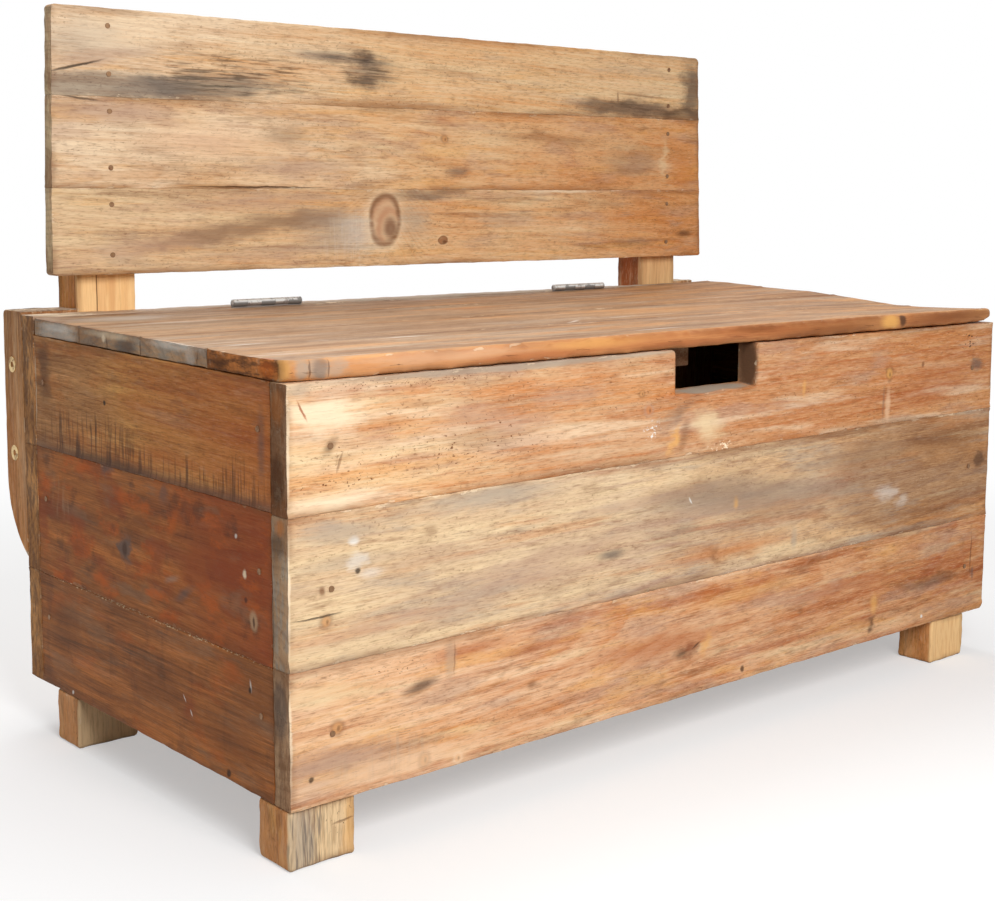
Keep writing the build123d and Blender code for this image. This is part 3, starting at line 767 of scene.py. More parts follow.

# Each front board's tones run from pale at the left end to darker, redder ones at the right. This run is
# partly the wood's own tone and partly painted light: a painted highlight over the pale, washed-out left end.
FRONT_LOOKS = {
    "bottom": Look(
        Grain((30.0, 60.0), (0.02, 0.10), 7.0, 0.3),
        ((-430, "peach", "honey"), (-150, "peach", "amber"), (430, "honey", "rust")),
        (
            Patch("straw", 0.25, 0.55, (170.0, 14.0)), Patch("rust", 0.3, 0.5, (240.0, 16.0)),
            Patch("mauve", 0.3, 0.5, (120.0, 24.0)), Patch("gold", 0.15, 0.4, (90.0, 18.0)),
            Patch("umber", 0.12, 0.4, (60.0, 14.0)),
        ),
        (
            Stain((-400, 125), (60, 12), "straw", 0.5), Stain((-270, 131), (60, 8), "rust", 0.55),
            Stain((-200, 120), (70, 7), "rust", 0.5), Specks((-330, 130), (50, 8), "umber", 1.5),
            Stain((-370, 68), (80, 20), "mauve", 0.55), Saw((-350, 65), (60, 22), "taupe", 5.0),
            Stain((-60, 95), (110, 20), "rust", 0.5), Stain((60, 122), (120, 11), "gold", 0.3),
            Stain((200, 105), (120, 10), "rust", 0.5), Stain((330, 88), (75, 9), "bark", 0.5),
            Stain((-287, 127), (8, 19), "taupe", 0.65, 0.3),
            Line((-283, 127), (17, 1.2), "umber", 0.35, UPRIGHT, 0.3),
            Stain((-400, 75), (70, 13), "mauve", 0.6, 0.2),
            Stain((-315, 112), (24, 7), "bark", 0.75, 0.1, 0.2), *plug((-390, 97), 5.0),
            *plug((-312, 55), 5.0), *plug((-280, 50), 4.0, "cream"),
            Stain((-330, 57), (120, 13), "peach", 0.5, 0.3),
            Line((FRONT_ARRIS, 94), (52, 2.4), "cream", 0.8, UPRIGHT, 0.0),
            Stain((-412, 64), (3, 3), "soot", 0.8, 0.4), Stain((-205, 91), (8, 5), "umber", 0.6),
            Stain((-2, 86), (11, 15), "gold", 0.55, 0.1), Stain((-26, 84), (24, 9), "bark", 0.55, 0.1, 0.15),
            Stain((-22, 86), (14, 9), "cherry", 0.5, 0.1), Stain((-32, 82), (10, 3), "soot", 0.5, 0.1, 0.2),
            Line((-14, 87), (8, 1.4), "soot", 0.6, 0.5, 0.2), Stain((48, 54), (3.5, 4), "bark", 0.85, 0.4),
            Stain((240, 80), (8, 16), "gold", 0.6), Stain((228, 64), (24, 9), "cherry", 0.4, 0.1),
            Stain((235, 62), (10, 12), "bark", 0.65, 0.1), Stain((235, 55), (6, 5), "soot", 0.65, 0.2),
            Stain((128, 92), (7, 6), "umber", 0.45), Stain((321, 54), (2.5, 2.5), "chalk", 0.9, 0.5),
            Line((405, 105), (30, 1.6), "umber", 0.6, UPRIGHT),
            Line((409, 85), (10, 4), "slate", 0.5, UPRIGHT, 0.1), Specks((100, 143), (250, 4), "cream", 1.8),
        ),
        ("fawn", "drab"),
        end_marks=(end_stain(116, 12, (8, 28), "slate", 0.55, 0.5, 11.0),),
    ),
    "middle": Look(
        Grain((-20.0, 45.0), (0.10, 0.05), 6.0, 0.25),
        ((-430, "straw", "tan"), (-60, "straw", "mauve"), (430, "honey", "umber")),
        (
            Patch("taupe", 0.4, 0.5, (160.0, 26.0)), Patch("straw", 0.25, 0.5, (190.0, 13.0)),
            Patch("ash", 0.25, 0.5, (110.0, 18.0)), Patch("amber", 0.2, 0.35, (200.0, 16.0)),
            Patch("umber", 0.15, 0.4, (70.0, 14.0)),
        ),
        (
            Stain((-250, 244), (110, 9), "ash", 0.6), Stain((-400, 243), (40, 8), "ash", 0.5),
            Stain((-330, 165), (120, 10), "mauve", 0.5, 0.2, 0.04),
            Stain((-200, 190), (190, 9), "mauve", 0.45, 0.2, 0.06),
            Stain((-60, 222), (170, 7), "mauve", 0.45, 0.2, 0.03),
            Stain((-380, 215), (70, 8), "ash", 0.4, 0.2), Stain((310, 200), (160, 60), "umber", 0.3, 0.7),
            Stain((20, 205), (110, 18), "taupe", 0.55), Stain((-40, 190), (50, 10), "slate", 0.35),
            Stain((30, 165), (130, 14), "amber", 0.45), Stain((-375, 230), (7, 5), "chalk", 0.9, 0.2),
            Stain((-374, 214), (12, 9), "chalk", 0.45), Stain((-360, 205), (16, 6), "chalk", 0.4),
            Stain((-371, 208), (3.5, 3), "soot", 0.85, 0.4), Stain((-402, 198), (4, 4.5), "umber", 0.7, 0.3),
            *plug((-399, 176), 5.0), Line((FRONT_ARRIS, 198), (60, 2.4), "cream", 0.8, UPRIGHT, 0.0),
            Stain((-386, 238), (50, 12), "ash", 0.55, 0.2), Stain((-233, 249), (60, 7), "ash", 0.5, 0.3),
            Stain((-215, 178), (90, 9), "mauve", 0.5, 0.1, 0.05),
            Stain((-24, 222), (80, 18), "drab", 0.4, 0.2), Stain((103, 200), (130, 26), "drab", 0.4, 0.2),
            Stain((209, 228), (120, 18), "drab", 0.4, 0.2), Stain((347, 228), (80, 16), "umber", 0.35, 0.2),
            Line((-405, 180), (28, 1.0), "soot", 0.7, 0.03), Stain((-119, 182), (22, 6), "slate", 0.7),
            Stain((-306, 228), (9, 7), "umber", 0.45), Line((-25, 215), (5, 1.2), "chalk", 0.9, 2.2, 0.0),
            Stain((34, 205), (5, 8), "gold", 0.6), Stain((252, 188), (22, 11), "chalk", 0.45, 0.05),
            Stain((280, 178), (18, 9), "chalk", 0.35, 0.05), Stain((30, 215), (130, 22), "slate", 0.3, 0.1),
            Stain((120, 205), (90, 18), "ash", 0.35, 0.05), Stain((116, 162), (7, 14), "ash", 0.6),
            Stain((415, 203), (15, 11), "bark", 0.65, 0.5), Stain((8, 163), (10, 10), "umber", 0.5),
            Specks((100, 143), (250, 4), "cream", 1.8),
        ),
        ("fawn", "ash"),
        end_marks=(
            end_stain(232, 13, (8, 12), "soot", 0.4, 0.4, 11.0),
            end_stain(245, 10, (8, 8), "amber", 0.6, 0.3, 8.0),
        ),
    ),
    "top": Look(
        Grain((-70.0, 30.0), (0.05, 0.02), 5.5, 0.25, pepper=0.6),
        ((-430, "straw", "honey"), (-150, "tan", "amber"), (430, "honey", "rust")),
        (
            Patch("mauve", 0.3, 0.5, (120.0, 26.0)), Patch("cream", 0.25, 0.45, (190.0, 15.0)),
            Patch("amber", 0.2, 0.4, (200.0, 18.0)), Patch("rust", 0.15, 0.35, (110.0, 12.0)),
        ),
        (
            Stain((-400, 322), (48, 22), "cream", 0.8, 0.2), Stain((-265, 308), (60, 14), "mauve", 0.5),
            Stain((-170, 318), (50, 12), "mauve", 0.45), Stain((-225, 285), (60, 10), "mauve", 0.4),
            Specks((-325, 285), (110, 32), "umber", 1.8, 0.34), Stain((-385, 261), (70, 8), "cream", 0.75),
            Specks((-330, 340), (120, 5), "umber", 1.2, 0.4), Stain((-200, 345), (230, 3), "ash", 0.6),
            Stain((330, 290), (90, 30), "rust", 0.3), Line((-417, 326), (11, 1.2), "rust", 0.8, -1.1),
            Stain((-394, 299), (10, 6), "bark", 0.6, 0.1, 0.7),
            Line((-386, 287), (10, 1.5), "umber", 0.5, 1.2), *plug((-78, 297), 4.5, "mauve", "amber"),
            *plug((-86, 311), 3.0), Line((FRONT_ARRIS, 300), (52, 2.4), "cream", 0.85, UPRIGHT, 0.0),
            Stain((-230, 344), (230, 5), "ash", 0.75, 0.4), Stain((-420, 340), (16, 7), "ash", 0.55, 0.2),
            Stain((-257, 293), (60, 14), "drab", 0.4, 0.1), Stain((-221, 300), (46, 12), "mauve", 0.5, 0.1),
            Specks((-250, 287), (90, 30), "umber", 2.6, 0.36),
            Specks((-386, 272), (50, 7), "umber", 2.2, 0.38),
            Specks((-73, 281), (12, 9), "chalk", 2.0, 0.45),
            Stain((-41, 293), (36, 10), "slate", 0.4, 0.1, 0.4),
            Stain((-46, 270), (9, 19), "gold", 0.7, 0.1, -0.3),
            Stain((-34, 272), (8, 20), "umber", 0.45, 0.1, -0.3),
            Stain((-5, 277), (24, 20), "straw", 0.8, 0.1), Specks((14, 258), (20, 9), "cream", 2.0, 0.45),
            Stain((238, 320), (20, 14), "mauve", 0.35), Stain((252, 273), (6, 24), "peach", 0.55, 0.3),
            Stain((245, 276), (3, 26), "slate", 0.4, 0.1), *plug((253, 304), 6.0, "umber", "gold"),
            Stain((125, 300), (4, 12), "gold", 0.5), Specks((390, 326), (22, 10), "bark", 2.5, 0.42),
            Stain((404, 305), (14, 12), "slate", 0.7), Stain((308, 309), (3, 4), "umber", 0.7, 0.3),
            Stain((NOTCH_HIGH, 327, 12), (5, 30), "drab", 1.0, 0.7, 0.0, 13.0),
            Stain((NOTCH_HIGH, 327, 9), (6, 34), "bark", 0.7, 0.5, 0.0, 14.0),
            Stain((NOTCH_LOW, 327, 12), (5, 30), "drab", 0.9, 0.7, 0.0, 13.0),
            Stain((5, 307, 11), (62, 4.5), "ash", 0.95, 0.6, 0.0, 13.0),
        ),
        ("drab", "umber"),
        end_marks=(
            end_stain(277, 12, (8, 24), "soot", 0.45, 0.5, 11.0),
            end_stain(328, 12, (8, 16), "amber", 0.35, 0.4, 11.0),
        ),
    ),
}


def notched(track, origin):
    """Stations round the hand notch: the upper edge follows a rounded corner down, the notch's floor and up
    again."""
    edge = track[:, 2].max()
    turn = np.linspace(0.0, np.pi / 2.0, 5)
    rim = NOTCH_ROUND * (1.0 - np.sin(turn))
    drop = NOTCH_ROUND * (1.0 - np.cos(turn))
    left, right = NOTCH_LOW - rim, NOTCH_HIGH + rim
    floor = np.linspace(NOTCH_LOW + 0.6, NOTCH_HIGH - 0.6, NOTCH_STATIONS)
    side = [NOTCH_DEPTH - 1.0]
    place = np.concatenate([left, [NOTCH_LOW + 0.1], floor, [NOTCH_HIGH - 0.1], right[::-1]]) - origin[X]
    down = np.concatenate([drop, side, np.full(NOTCH_STATIONS, NOTCH_DEPTH), side, drop[::-1]])
    lower = np.full_like(place, track[:, 1].min())
    rows = np.stack([place, lower, edge - down, np.zeros_like(place)], axis=1)
    before = track[track[:, 0] < place[0] - 0.5]
    after = track[track[:, 0] > place[-1] + 0.5]
    return np.concatenate([before, rows, after])


def notch_slope(x, y, z):
    """The notch's floor falls towards the front by up to 3.5 mm, unevenly along it; nothing else is moved."""
    inside = (x > NOTCH_LOW) & (x < NOTCH_HIGH)
    near = np.clip(1.0 - np.abs(z - (FRONT_TOP - NOTCH_DEPTH)) / 8.0, 0.0, 1.0)
    front = np.clip(1.0 - (y - FRONT_FACE) / NOTCH_RUN, 0.0, 1.0)
    return inside * near * front * (NOTCH_WAVE * np.sin(x / NOTCH_SPAN) - NOTCH_FALL)


FRONT_SHAPES = {"top": notched, "bottom": rounded(lower=(0.0, 7.0))}


class BENCH_OT_front_boards(bpy.types.Operator):
    """Three worn boards of the front wall, the top one with a hand notch"""

    bl_idname = "bench.front_boards"
    bl_label = "Front boards"

    def execute(self, context):
        for number, course in enumerate(COURSES):
            shape = {
                "in_row": True,
                "corners": FRONT_CORNERS[course],
                "shape": FRONT_SHAPES.get(course),
                "lift": notch_slope if course == "top" else None,
                "sink": (1, 0),
            }
            node, look = f"front_board_{course}", FRONT_LOOKS[course]
            board(context, node, (X, Z, Y), FRONT_FACE, FRONT_SEED + number, look, "wall_wood", **shape)
        return {"FINISHED"}


# Side walls

SIDE_RISE = 4.5  # the side walls' upper edges rise this much towards the rear, in mm
SIDE_FRONT = -207.0
SIDE_WALLS = (("left", -430.0, (1, 0), 200), ("right", 430.0, (0, 1), 230))  # name, face, sunk faces, seed
SIDE_CORNERS = {"top": ((0.0, 0.0), (0.0, 0.0), (0.0, 0.0), (0.0, SIDE_RISE))}
SIDE_LOOKS = {
    "bottom": Look(
        Grain((-60.0, 40.0), (0.03, 0.08), 5.0, 0.3, bleach=0.05),
        ((-207, "amber", "umber"), (167, "amber", "bark")),
        (
            Patch("umber", 0.4, 0.5, (120.0, 36.0)), Patch("ember", 0.2, 0.4, (70.0, 26.0)),
            Patch("drab", 0.25, 0.4, (80.0, 24.0)), Patch("bark", 0.2, 0.35, (30.0, 70.0)),
        ),
        (
            Stain((125, 100), (50, 45), "bark", 0.45), Stain((-150, 75), (50, 28), "umber", 0.4),
            Stain((-154, 128), (20, 12), "ember", 0.5), Stain((-86, 86), (16, 13), "cherry", 0.5),
            Line((-82, 91), (4, 1.0), "chalk", 0.8, 0.9, 0.0),
            Line((-92, 82), (4, 1.0), "chalk", 0.8, 0.9, 0.0),
            Line((-177, 123), (6, 1.6), "chalk", 0.6, 1.3, 0.0),
            Stain((-176, 120), (3, 3), "soot", 0.85, 0.4), Stain((-145, 50), (4, 4), "soot", 0.85, 0.4),
            Stain((108, 48), (2.5, 2.5), "chalk", 0.9, 0.4),
            Specks((-20, 142.7), (230, 1.5), "straw", 1.8, 0.46),
        ),
        ("amber", "drab"),
        None,
        "fawn",
    ),
    "middle": Look(
        Grain((10.0, 60.0), (0.05, 0.10), 7.0, 0.25, bleach=0.03),
        ((-207, "rust", "cherry"), (0, "amber", "umber"), (167, "amber", "umber")),
        (
            Patch("cherry", 0.4, 0.65, (70.0, 40.0)), Patch("ember", 0.25, 0.7, (46.0, 26.0)),
            Patch("drab", 0.2, 0.5, (60.0, 20.0)), Patch("bark", 0.18, 0.55, (34.0, 34.0)),
        ),
        (
            Stain((-120, 200), (60, 35), "cherry", 0.6), Stain((9, 190), (12, 17), "slate", 0.8, 0.3),
            Stain((9, 190), (5, 8), "bark", 0.8, 0.4), Stain((35, 250), (10, 14), "slate", 0.6),
            Stain((-58, 246), (12, 14), "slate", 0.5), Stain((80, 247), (22, 10), "ember", 0.8),
            Stain((12, 232), (16, 9), "ember", 0.7), Stain((54, 158), (22, 9), "ember", 0.7),
            Stain((-43, 163), (18, 9), "ember", 0.75), Stain((-69, 227), (14, 18), "ember", 0.45),
            Saw((125, 215), (26, 24), "fawn", 4.0, 0.45),
            Stain((-84, 172), (24, 6), "slate", 0.6, 0.1, -0.5),
            Stain((-66, 180), (16, 4), "ash", 0.4, 0.1, -0.3),
            Stain((-171, 204), (3.5, 4.5), "cream", 0.9, 0.4),
            Stain((-160, 229), (2.5, 2.5), "chalk", 0.7, 0.4), Stain((-172, 185), (3, 3), "soot", 0.7, 0.4),
            Stain((-182, 172), (7, 9), "fawn", 0.85, 0.5), Stain((-182, 171), (2, 5), "bark", 0.8, 0.5),
            Specks((-20, 143.3), (230, 1.5), "straw", 1.8, 0.46),
        ),
        ("amber", "drab"),
        ("bark", 256.0, 250.0, 0.35),
        "fawn",
    ),
    "top": Look(
        Grain((80.0, 40.0), (0.03, 0.05), 4.5, 0.25, bleach=0.1),
        ((-207, "amber", "rust"), (0, "gold", "rust"), (167, "honey", "umber")),
        (
            Patch("umber", 0.3, 0.3, (80.0, 16.0)), Patch("amber", 0.35, 0.4, (70.0, 22.0)),
            Patch("slate", 0.12, 0.25, (50.0, 20.0)),
        ),
        (
            Stain((148, 320), (20, 40), "bark", 0.65, 0.2), Saw((70, 268), (110, 34), "bark", 3.2, 0.85),
            Saw((-60, 262), (130, 18), "bark", 3.6, 0.7), Saw((-165, 266), (40, 24), "bark", 3.2, 0.7),
            Stain((30, 256), (110, 7), "bark", 0.55, 0.3),
            Line((166, 305), (46, 2.0), "cream", 0.7, UPRIGHT, 0.0),
            Stain((39, 305), (3, 3), "soot", 0.9, 0.4), Stain((-195, 300), (7, 40), "slate", 0.5),
        ),
        ("amber", "drab"),
        ("slate", 253.0, 266.0, 0.75),
        "fawn",
    ),
}


class BENCH_OT_side_boards(bpy.types.Operator):
    """Three worn boards of each side wall"""

    bl_idname = "bench.side_boards"
    bl_label = "Side boards"

    def execute(self, context):
        for wall, face, sink, seed in SIDE_WALLS:
            for number, course in enumerate(COURSES):
                look = SIDE_LOOKS[course]
                if wall == "right":
                    look = look._replace(marks=())
                shape = {"in_row": True, "corners": SIDE_CORNERS.get(course), "sink": sink}
                node = f"{wall}_board_{course}"
                board(context, node, (Y, Z, X), face, seed + number, look, "wall_wood", **shape)
        return {"FINISHED"}


# Back wall

BACK_FACE = 190.0
BACK_SEED = 300
BACK_LOOK = Look(
    Grain((30.0, 45.0), (0.04, 0.06), 6.0, 0.3),
    ((-430, "honey", "amber"), (0, "tan", "umber"), (430, "honey", "umber")),
    (
        Patch("umber", 0.35, 0.4, (170.0, 24.0)), Patch("taupe", 0.35, 0.5, (140.0, 20.0)),
        Patch("straw", 0.2, 0.4, (180.0, 14.0)), Patch("slate", 0.15, 0.4, (80.0, 18.0)),
    ),
    (Stain((-405, 366), (36, 7), "cream", 0.8, 0.3, 0.0, 40.0),),
    ("honey", "drab"),
)
BACK_LIP = ("ash", 366.0, 358.0, 1.0)


class BENCH_OT_back_boards(bpy.types.Operator):
    """Three worn boards of the back wall"""

    bl_idname = "bench.back_boards"
    bl_label = "Back boards"

    def execute(self, context):
        shape = {"in_row": True, "sink": (0, 1)}
        for number, course in enumerate(COURSES):
            look = BACK_LOOK._replace(edge=BACK_LIP) if course == "top" else BACK_LOOK
            node = f"back_board_{course}"
            board(context, node, (X, Z, Y), BACK_FACE, BACK_SEED + number, look, "wall_wood", **shape)
        return {"FINISHED"}


# Backrest

BACKREST_FACE = 176.0
BACKREST_SEED = 400
BACKREST_CORNERS = {
    "bottom": ((-2.0, -1.0), (-1.0, -2.0), (4.0, -1.0), (1.0, -0.5)),
    "middle": ((-1.0, -2.0), (1.0, -4.0), (1.0, -0.5), (-2.0, 1.0)),
    "top": ((1.0, -4.0), (3.0, -1.0), (-2.0, 1.0), (-5.0, 0.0)),
}
BACKREST_LOOKS = {
    "bottom": Look(
        Grain((40.0, 30.0), (-0.10, 0.03), 5.0, 0.3),
        ((-404, "straw", "tan"), (0, "straw", "honey"), (424, "honey", "amber")),
        (
            Patch("mauve", 0.3, 0.4, (120.0, 20.0)), Patch("umber", 0.2, 0.35, (160.0, 10.0)),
            Patch("gold", 0.2, 0.35, (150.0, 14.0)), Patch("ash", 0.15, 0.35, (110.0, 16.0)),
        ),
        (
            Stain((-300, 426), (110, 15), "mauve", 0.55, 0.1, 0.1),
            Stain((-230, 436), (120, 16), "drab", 0.75, 0.1, 0.12),
            Stain((-150, 447), (90, 16), "drab", 0.8, 0.1, 0.08),
            Stain((-200, 414), (120, 10), "mauve", 0.4, 0.1, 0.05),
            Stain((-180, 465), (150, 12), "mauve", 0.5, 0.1, 0.06),
            Stain((-100, 436), (70, 34), "ash", 0.6, 0.05), Stain((-80, 432), (36, 30), "chalk", 0.3, 0.05),
            Saw((-93, 430), (50, 40), "chalk", 2.2, 0.1), Stain((-45, 445), (34, 40), "cream", 0.55, 0.3),
            Stain((-8, 446), (34, 30), "ash", 0.55, 0.05), Stain((10, 472), (60, 9), "slate", 0.5, 0.2),
            Stain((195, 476), (70, 3), "cream", 0.6, 0.2), Knot((-45, 445), (20, 26), "tan"),
            Stain((-46, 450), (15, 20), "rust", 0.35, 0.3), Knot((29, 424), (7, 5), "umber"),
            Stain((316, 417), (50, 9), "slate", 0.35), Stain((399, 426), (18, 6), "bark", 0.6, 0.2),
            Line((-198, 478), (104, 1.2), "soot", 0.85),
        ),
        ("straw", "tan"),
    ),
    "middle": Look(
        Grain((-20.0, 50.0), (0.03, 0.08), 6.0, 0.25),
        ((-404, "cream", "tan"), (0, "straw", "honey"), (424, "honey", "amber")),
        (
            Patch("mauve", 0.35, 0.4, (100.0, 26.0)), Patch("gold", 0.25, 0.35, (140.0, 14.0)),
            Patch("umber", 0.15, 0.3, (110.0, 12.0)),
        ),
        (
            Line((-376, 554), (28, 1.2), "soot", 0.7, -0.09),
            Stain((-250, 520), (110, 22), "peach", 0.5, 0.2),
            Stain((-350, 543), (90, 14), "mauve", 0.5, 0.2), Stain((-160, 529), (44, 14), "drab", 0.5, 0.2),
            Stain((-160, 499), (80, 13), "mauve", 0.5, 0.2), Stain((34, 549), (30, 10), "rust", 0.35, 0.1),
            Stain((180, 532), (110, 10), "umber", 0.4, 0.1, -0.03),
            Stain((311, 510), (64, 26), "drab", 0.4, 0.3), *plug((31, 529), 4.0),
            Stain((50, 495), (26, 8), "slate", 0.6, 0.1), Stain((365, 512), (9, 34), "straw", 0.5, 0.1),
            Stain((396, 500), (26, 40), "amber", 0.35, 0.2), Line((-198, 478), (104, 1.2), "soot", 0.85),
        ),
        ("straw", "tan"),
    ),
    "top": Look(
        Grain((-80.0, 30.0), (-0.04, 0.03), 4.0, 0.3),
        ((-404, "cream", "tan"), (0, "straw", "honey"), (424, "straw", "honey")),
        (
            Patch("tan", 0.3, 0.4, (180.0, 14.0)), Patch("gold", 0.2, 0.3, (160.0, 20.0)),
            Patch("ash", 0.15, 0.35, (120.0, 16.0)),
        ),
        (
            Stain((-345, 566), (120, 17), "slate", 0.6, 0.5),
            Stain((-250, 570), (110, 15), "slate", 0.6, 0.4, 0.06),
            Stain((-372, 604), (60, 24), "ash", 0.5, 0.2),
            Stain((-350, 592), (70, 10), "mauve", 0.4, 0.2, 0.2),
            Saw((-215, 582), (130, 26), "soot", 2.6, 0.6, True),
            Line((-380, 582), (36, 1.6), "soot", 0.85, 0.24),
            Stain((-110, 605), (60, 7), "slate", 0.75, 0.1), Stain((-66, 604), (30, 11), "bark", 0.8, 0.2),
            Stain((-70, 583), (26, 11), "bark", 0.75, 0.2), Stain((-62, 594), (44, 20), "slate", 0.5, 0.2),
            Saw((-70, 595), (56, 24), "soot", 2.4, 0.6, True),
            Stain((300, 571), (110, 14), "slate", 0.5, 0.3), Stain((300, 571), (110, 14), "bark", 0.45, 0.5),
            Stain((395, 566), (60, 12), "bark", 0.6, 0.5), Stain((408, 596), (26, 46), "slate", 0.5, 0.2),
            Stain((410, 594), (24, 44), "bark", 0.5, 0.4),
            Saw((330, 572), (110, 14), "soot", 2.6, 0.35, True),
            Line((285, 583), (9, 2.0), "umber", 0.5, UPRIGHT),
            Line((325, 586), (60, 2.0), "umber", 0.5, -0.03, 0.3),
            Stain((-335, 612), (66, 20), "cream", 0.35, 0.5),
        ),
        ("straw", "tan"),
    ),
}

BACKREST_SHAPES = {"top": rounded(upper=(4.0, 6.0)), "bottom": rounded(lower=(4.0, 2.0))}


class BENCH_OT_backrest_boards(bpy.types.Operator):
    """Three worn boards of the backrest"""

    bl_idname = "bench.backrest_boards"
    bl_label = "Backrest boards"

    def execute(self, context):
        for number, course in enumerate(COURSES):
            shape = {
                "in_row": True,
                "corners": BACKREST_CORNERS[course],
                "shape": BACKREST_SHAPES.get(course),
                "sink": (1, 0),
            }
            node, look, seed = f"backrest_board_{course}", BACKREST_LOOKS[course], BACKREST_SEED + number
            board(context, node, (X, Z, Y), BACKREST_FACE, seed, look, "backrest_wood", **shape)
        return {"FINISHED"}


# Posts and cheeks

REAR_SEED = 500
REAR_ROUND = 5.0  # radius at the upper rear corner, in mm
REAR_STEP = 7.0  # distance between sections along the straight stretch
CURVE_HEIGHT = 68.0  # the lower curve's height
CURVE_SHARE = 0.985  # the curve stops just short of its tip, where the section would have no depth
CURVE_STATIONS, ROUND_STATIONS = 16, 6


def rear_curve(track, origin):
    """Stations of a rear block: its rear edge is drawn in along one arc at the lower end, and rounded at the
    top. The arc's radius is the sum of the squares of its height and depth over twice its depth."""
    bottom, top = track[0, 0], track[-1, 0]
    front, rear = track[:, 1].min(), track[:, 2].max()
    depth = rear - front
    radius = (CURVE_HEIGHT**2 + depth**2) / (2.0 * depth)
    tip = math.asin(CURVE_HEIGHT / radius)
    turn = np.linspace(tip * CURVE_SHARE, 0.0, CURVE_STATIONS)
    low_place = bottom + CURVE_HEIGHT - radius * np.sin(turn)
    low_rear = rear - radius + radius * np.cos(turn)
    bend = np.linspace(0.0, np.pi / 2.0, ROUND_STATIONS)
    high_place = top - REAR_ROUND + REAR_ROUND * np.sin(bend)
    high_rear = rear - REAR_ROUND + REAR_ROUND * np.cos(bend)
    straight = high_place[0] - low_place[-1]
    middle = np.linspace(low_place[-1], high_place[0], int(straight / REAR_STEP))[1:-1]
    place = np.concatenate([low_place, middle, high_place])
    edge = np.concatenate([low_rear, np.full_like(middle, rear), high_rear])
    inset = np.zeros_like(place)
    inset[:2] = (0.3, 0.1)
    inset[-2:] = (0.4, 1.0)
    return np.stack([place, np.full_like(place, front), edge, inset], axis=1)


POST_GRAIN = Grain((30.0, 25.0), (0.01, 0.02), 4.5, 0.3)
POST_PATCHES = (Patch("umber", 0.3, 0.4, (170.0, 9.0)), Patch("tan", 0.3, 0.4, (120.0, 12.0)))
POST_TONES = ((150, "honey", "amber"), (640, "honey", "amber"))
POST_LOOK = Look(POST_GRAIN, POST_TONES, POST_PATCHES, (), ("straw", "tan"))
REAR_LOOKS = {
    "post_left": POST_LOOK._replace(
        marks=(
            Line((388, 190, 19), (60, 5), "umber", 0.8, 0.0, 0.8, 0.7),
            Line((388, 190, 34), (50, 5), "honey", 0.6, 0.0, 0.2, 5.0),
        ),
        tones=((150, "gold", "amber"), (640, "gold", "amber")),
        edge=("wheat", 192.0, 196.0, 1.0),
    ),
    "post_right": POST_LOOK._replace(
        tones=((150, "rust", "umber"), (640, "rust", "umber")), edge=("wheat", 192.0, 196.0, 0.85)
    ),
    "cheek_left": POST_LOOK._replace(
        tones=((150, "honey", "amber"), (369, "honey", "umber")), ends=("cream", "ash")
    ),
    "cheek_right": POST_LOOK._replace(
        tones=((150, "tan", "umber"), (369, "honey", "umber")), ends=("cream", "ash")
    ),
}
NUT_PLACES = {
    "post_left": ((-359.0, 321.0), (-359.0, 242.0)),
    "post_right": ((359.0, 321.0), (359.0, 242.0)),
}
NUT_RADIUS = 6.2
NUT_FRONT, NUT_REAR = 200.0, 240.0


class BENCH_OT_rear_blocks(bpy.types.Operator):
    """Two posts that carry the backrest, drilled for their nuts, and the two cheeks beside them"""

    bl_idname = "bench.rear_blocks"
    bl_label = "Posts and cheeks"

    def execute(self, context):
        for number, (node, look) in enumerate(REAR_LOOKS.items()):
            low, high = node_box(node)
            face = low[X] if node.endswith("left") else high[X]
            shape = {"holes": NUT_PLACES.get(node, ()), "shape": rear_curve}
            board(context, node, (Z, Y, X), face, REAR_SEED + number, look, "post_wood", **shape)
        return {"FINISHED"}


# Feet

FOOT_SEED = 600
FOOT_ARRIS, FOOT_END = 2.4, 3.0  # radii of a foot's arrises and ends, in mm
FOOT_LOOK = Look(
    Grain((20.0, 25.0), (0.02, 0.02), 4.0, 0.3),
    ((0, "honey", "amber"), (45, "honey", "amber")),
    (Patch("umber", 0.3, 0.4, (60.0, 8.0)), Patch("gold", 0.3, 0.4, (50.0, 14.0))),
    (),
    ("tan", "drab"),
)
# The front face of three feet is tinted paler than their sides, straw or wheat over the whole face: this
# paler face is painted light. The lines, saw marks and specks on it are marks in the wood.
FOOT_LOOKS = {
    "front_left": FOOT_LOOK._replace(
        marks=(
            Stain((22, -402), (60, 60), "straw", 0.85, 0.6, 0.0, 4.0),
            Stain((22, -418), (60, 16), "ash", 0.7, 0.2, 0.0, 4.0),
            Saw((22, -414), (60, 24), "slate", 2.0, 0.7, True),
            Saw((22, -395), (60, 44), "umber", 1.5, 0.4, True),
            Stain((22, -378), (60, 10), "gold", 0.5, 0.2, 0.0, 4.0),
            Line((27, -384), (12, 1.4), "umber", 0.5, 1.5), Specks((32, -390), (12, 14), "bark", 2.0, 0.36),
        )
    ),
    "front_right": FOOT_LOOK._replace(
        marks=(
            Stain((22, 370), (60, 60), "wheat", 0.9, 0.6, 0.0, 4.0),
            Saw((22, 370), (60, 40), "amber", 1.8, 0.35, True),
        )
    ),
    "back_left": FOOT_LOOK._replace(
        marks=(
            Stain((22, -402), (60, 60), "straw", 0.8, 0.6, 0.0, 4.0),
            Saw((22, -400), (60, 40), "umber", 1.6, 0.25, True),
        )
    ),
    "back_right": FOOT_LOOK,
}


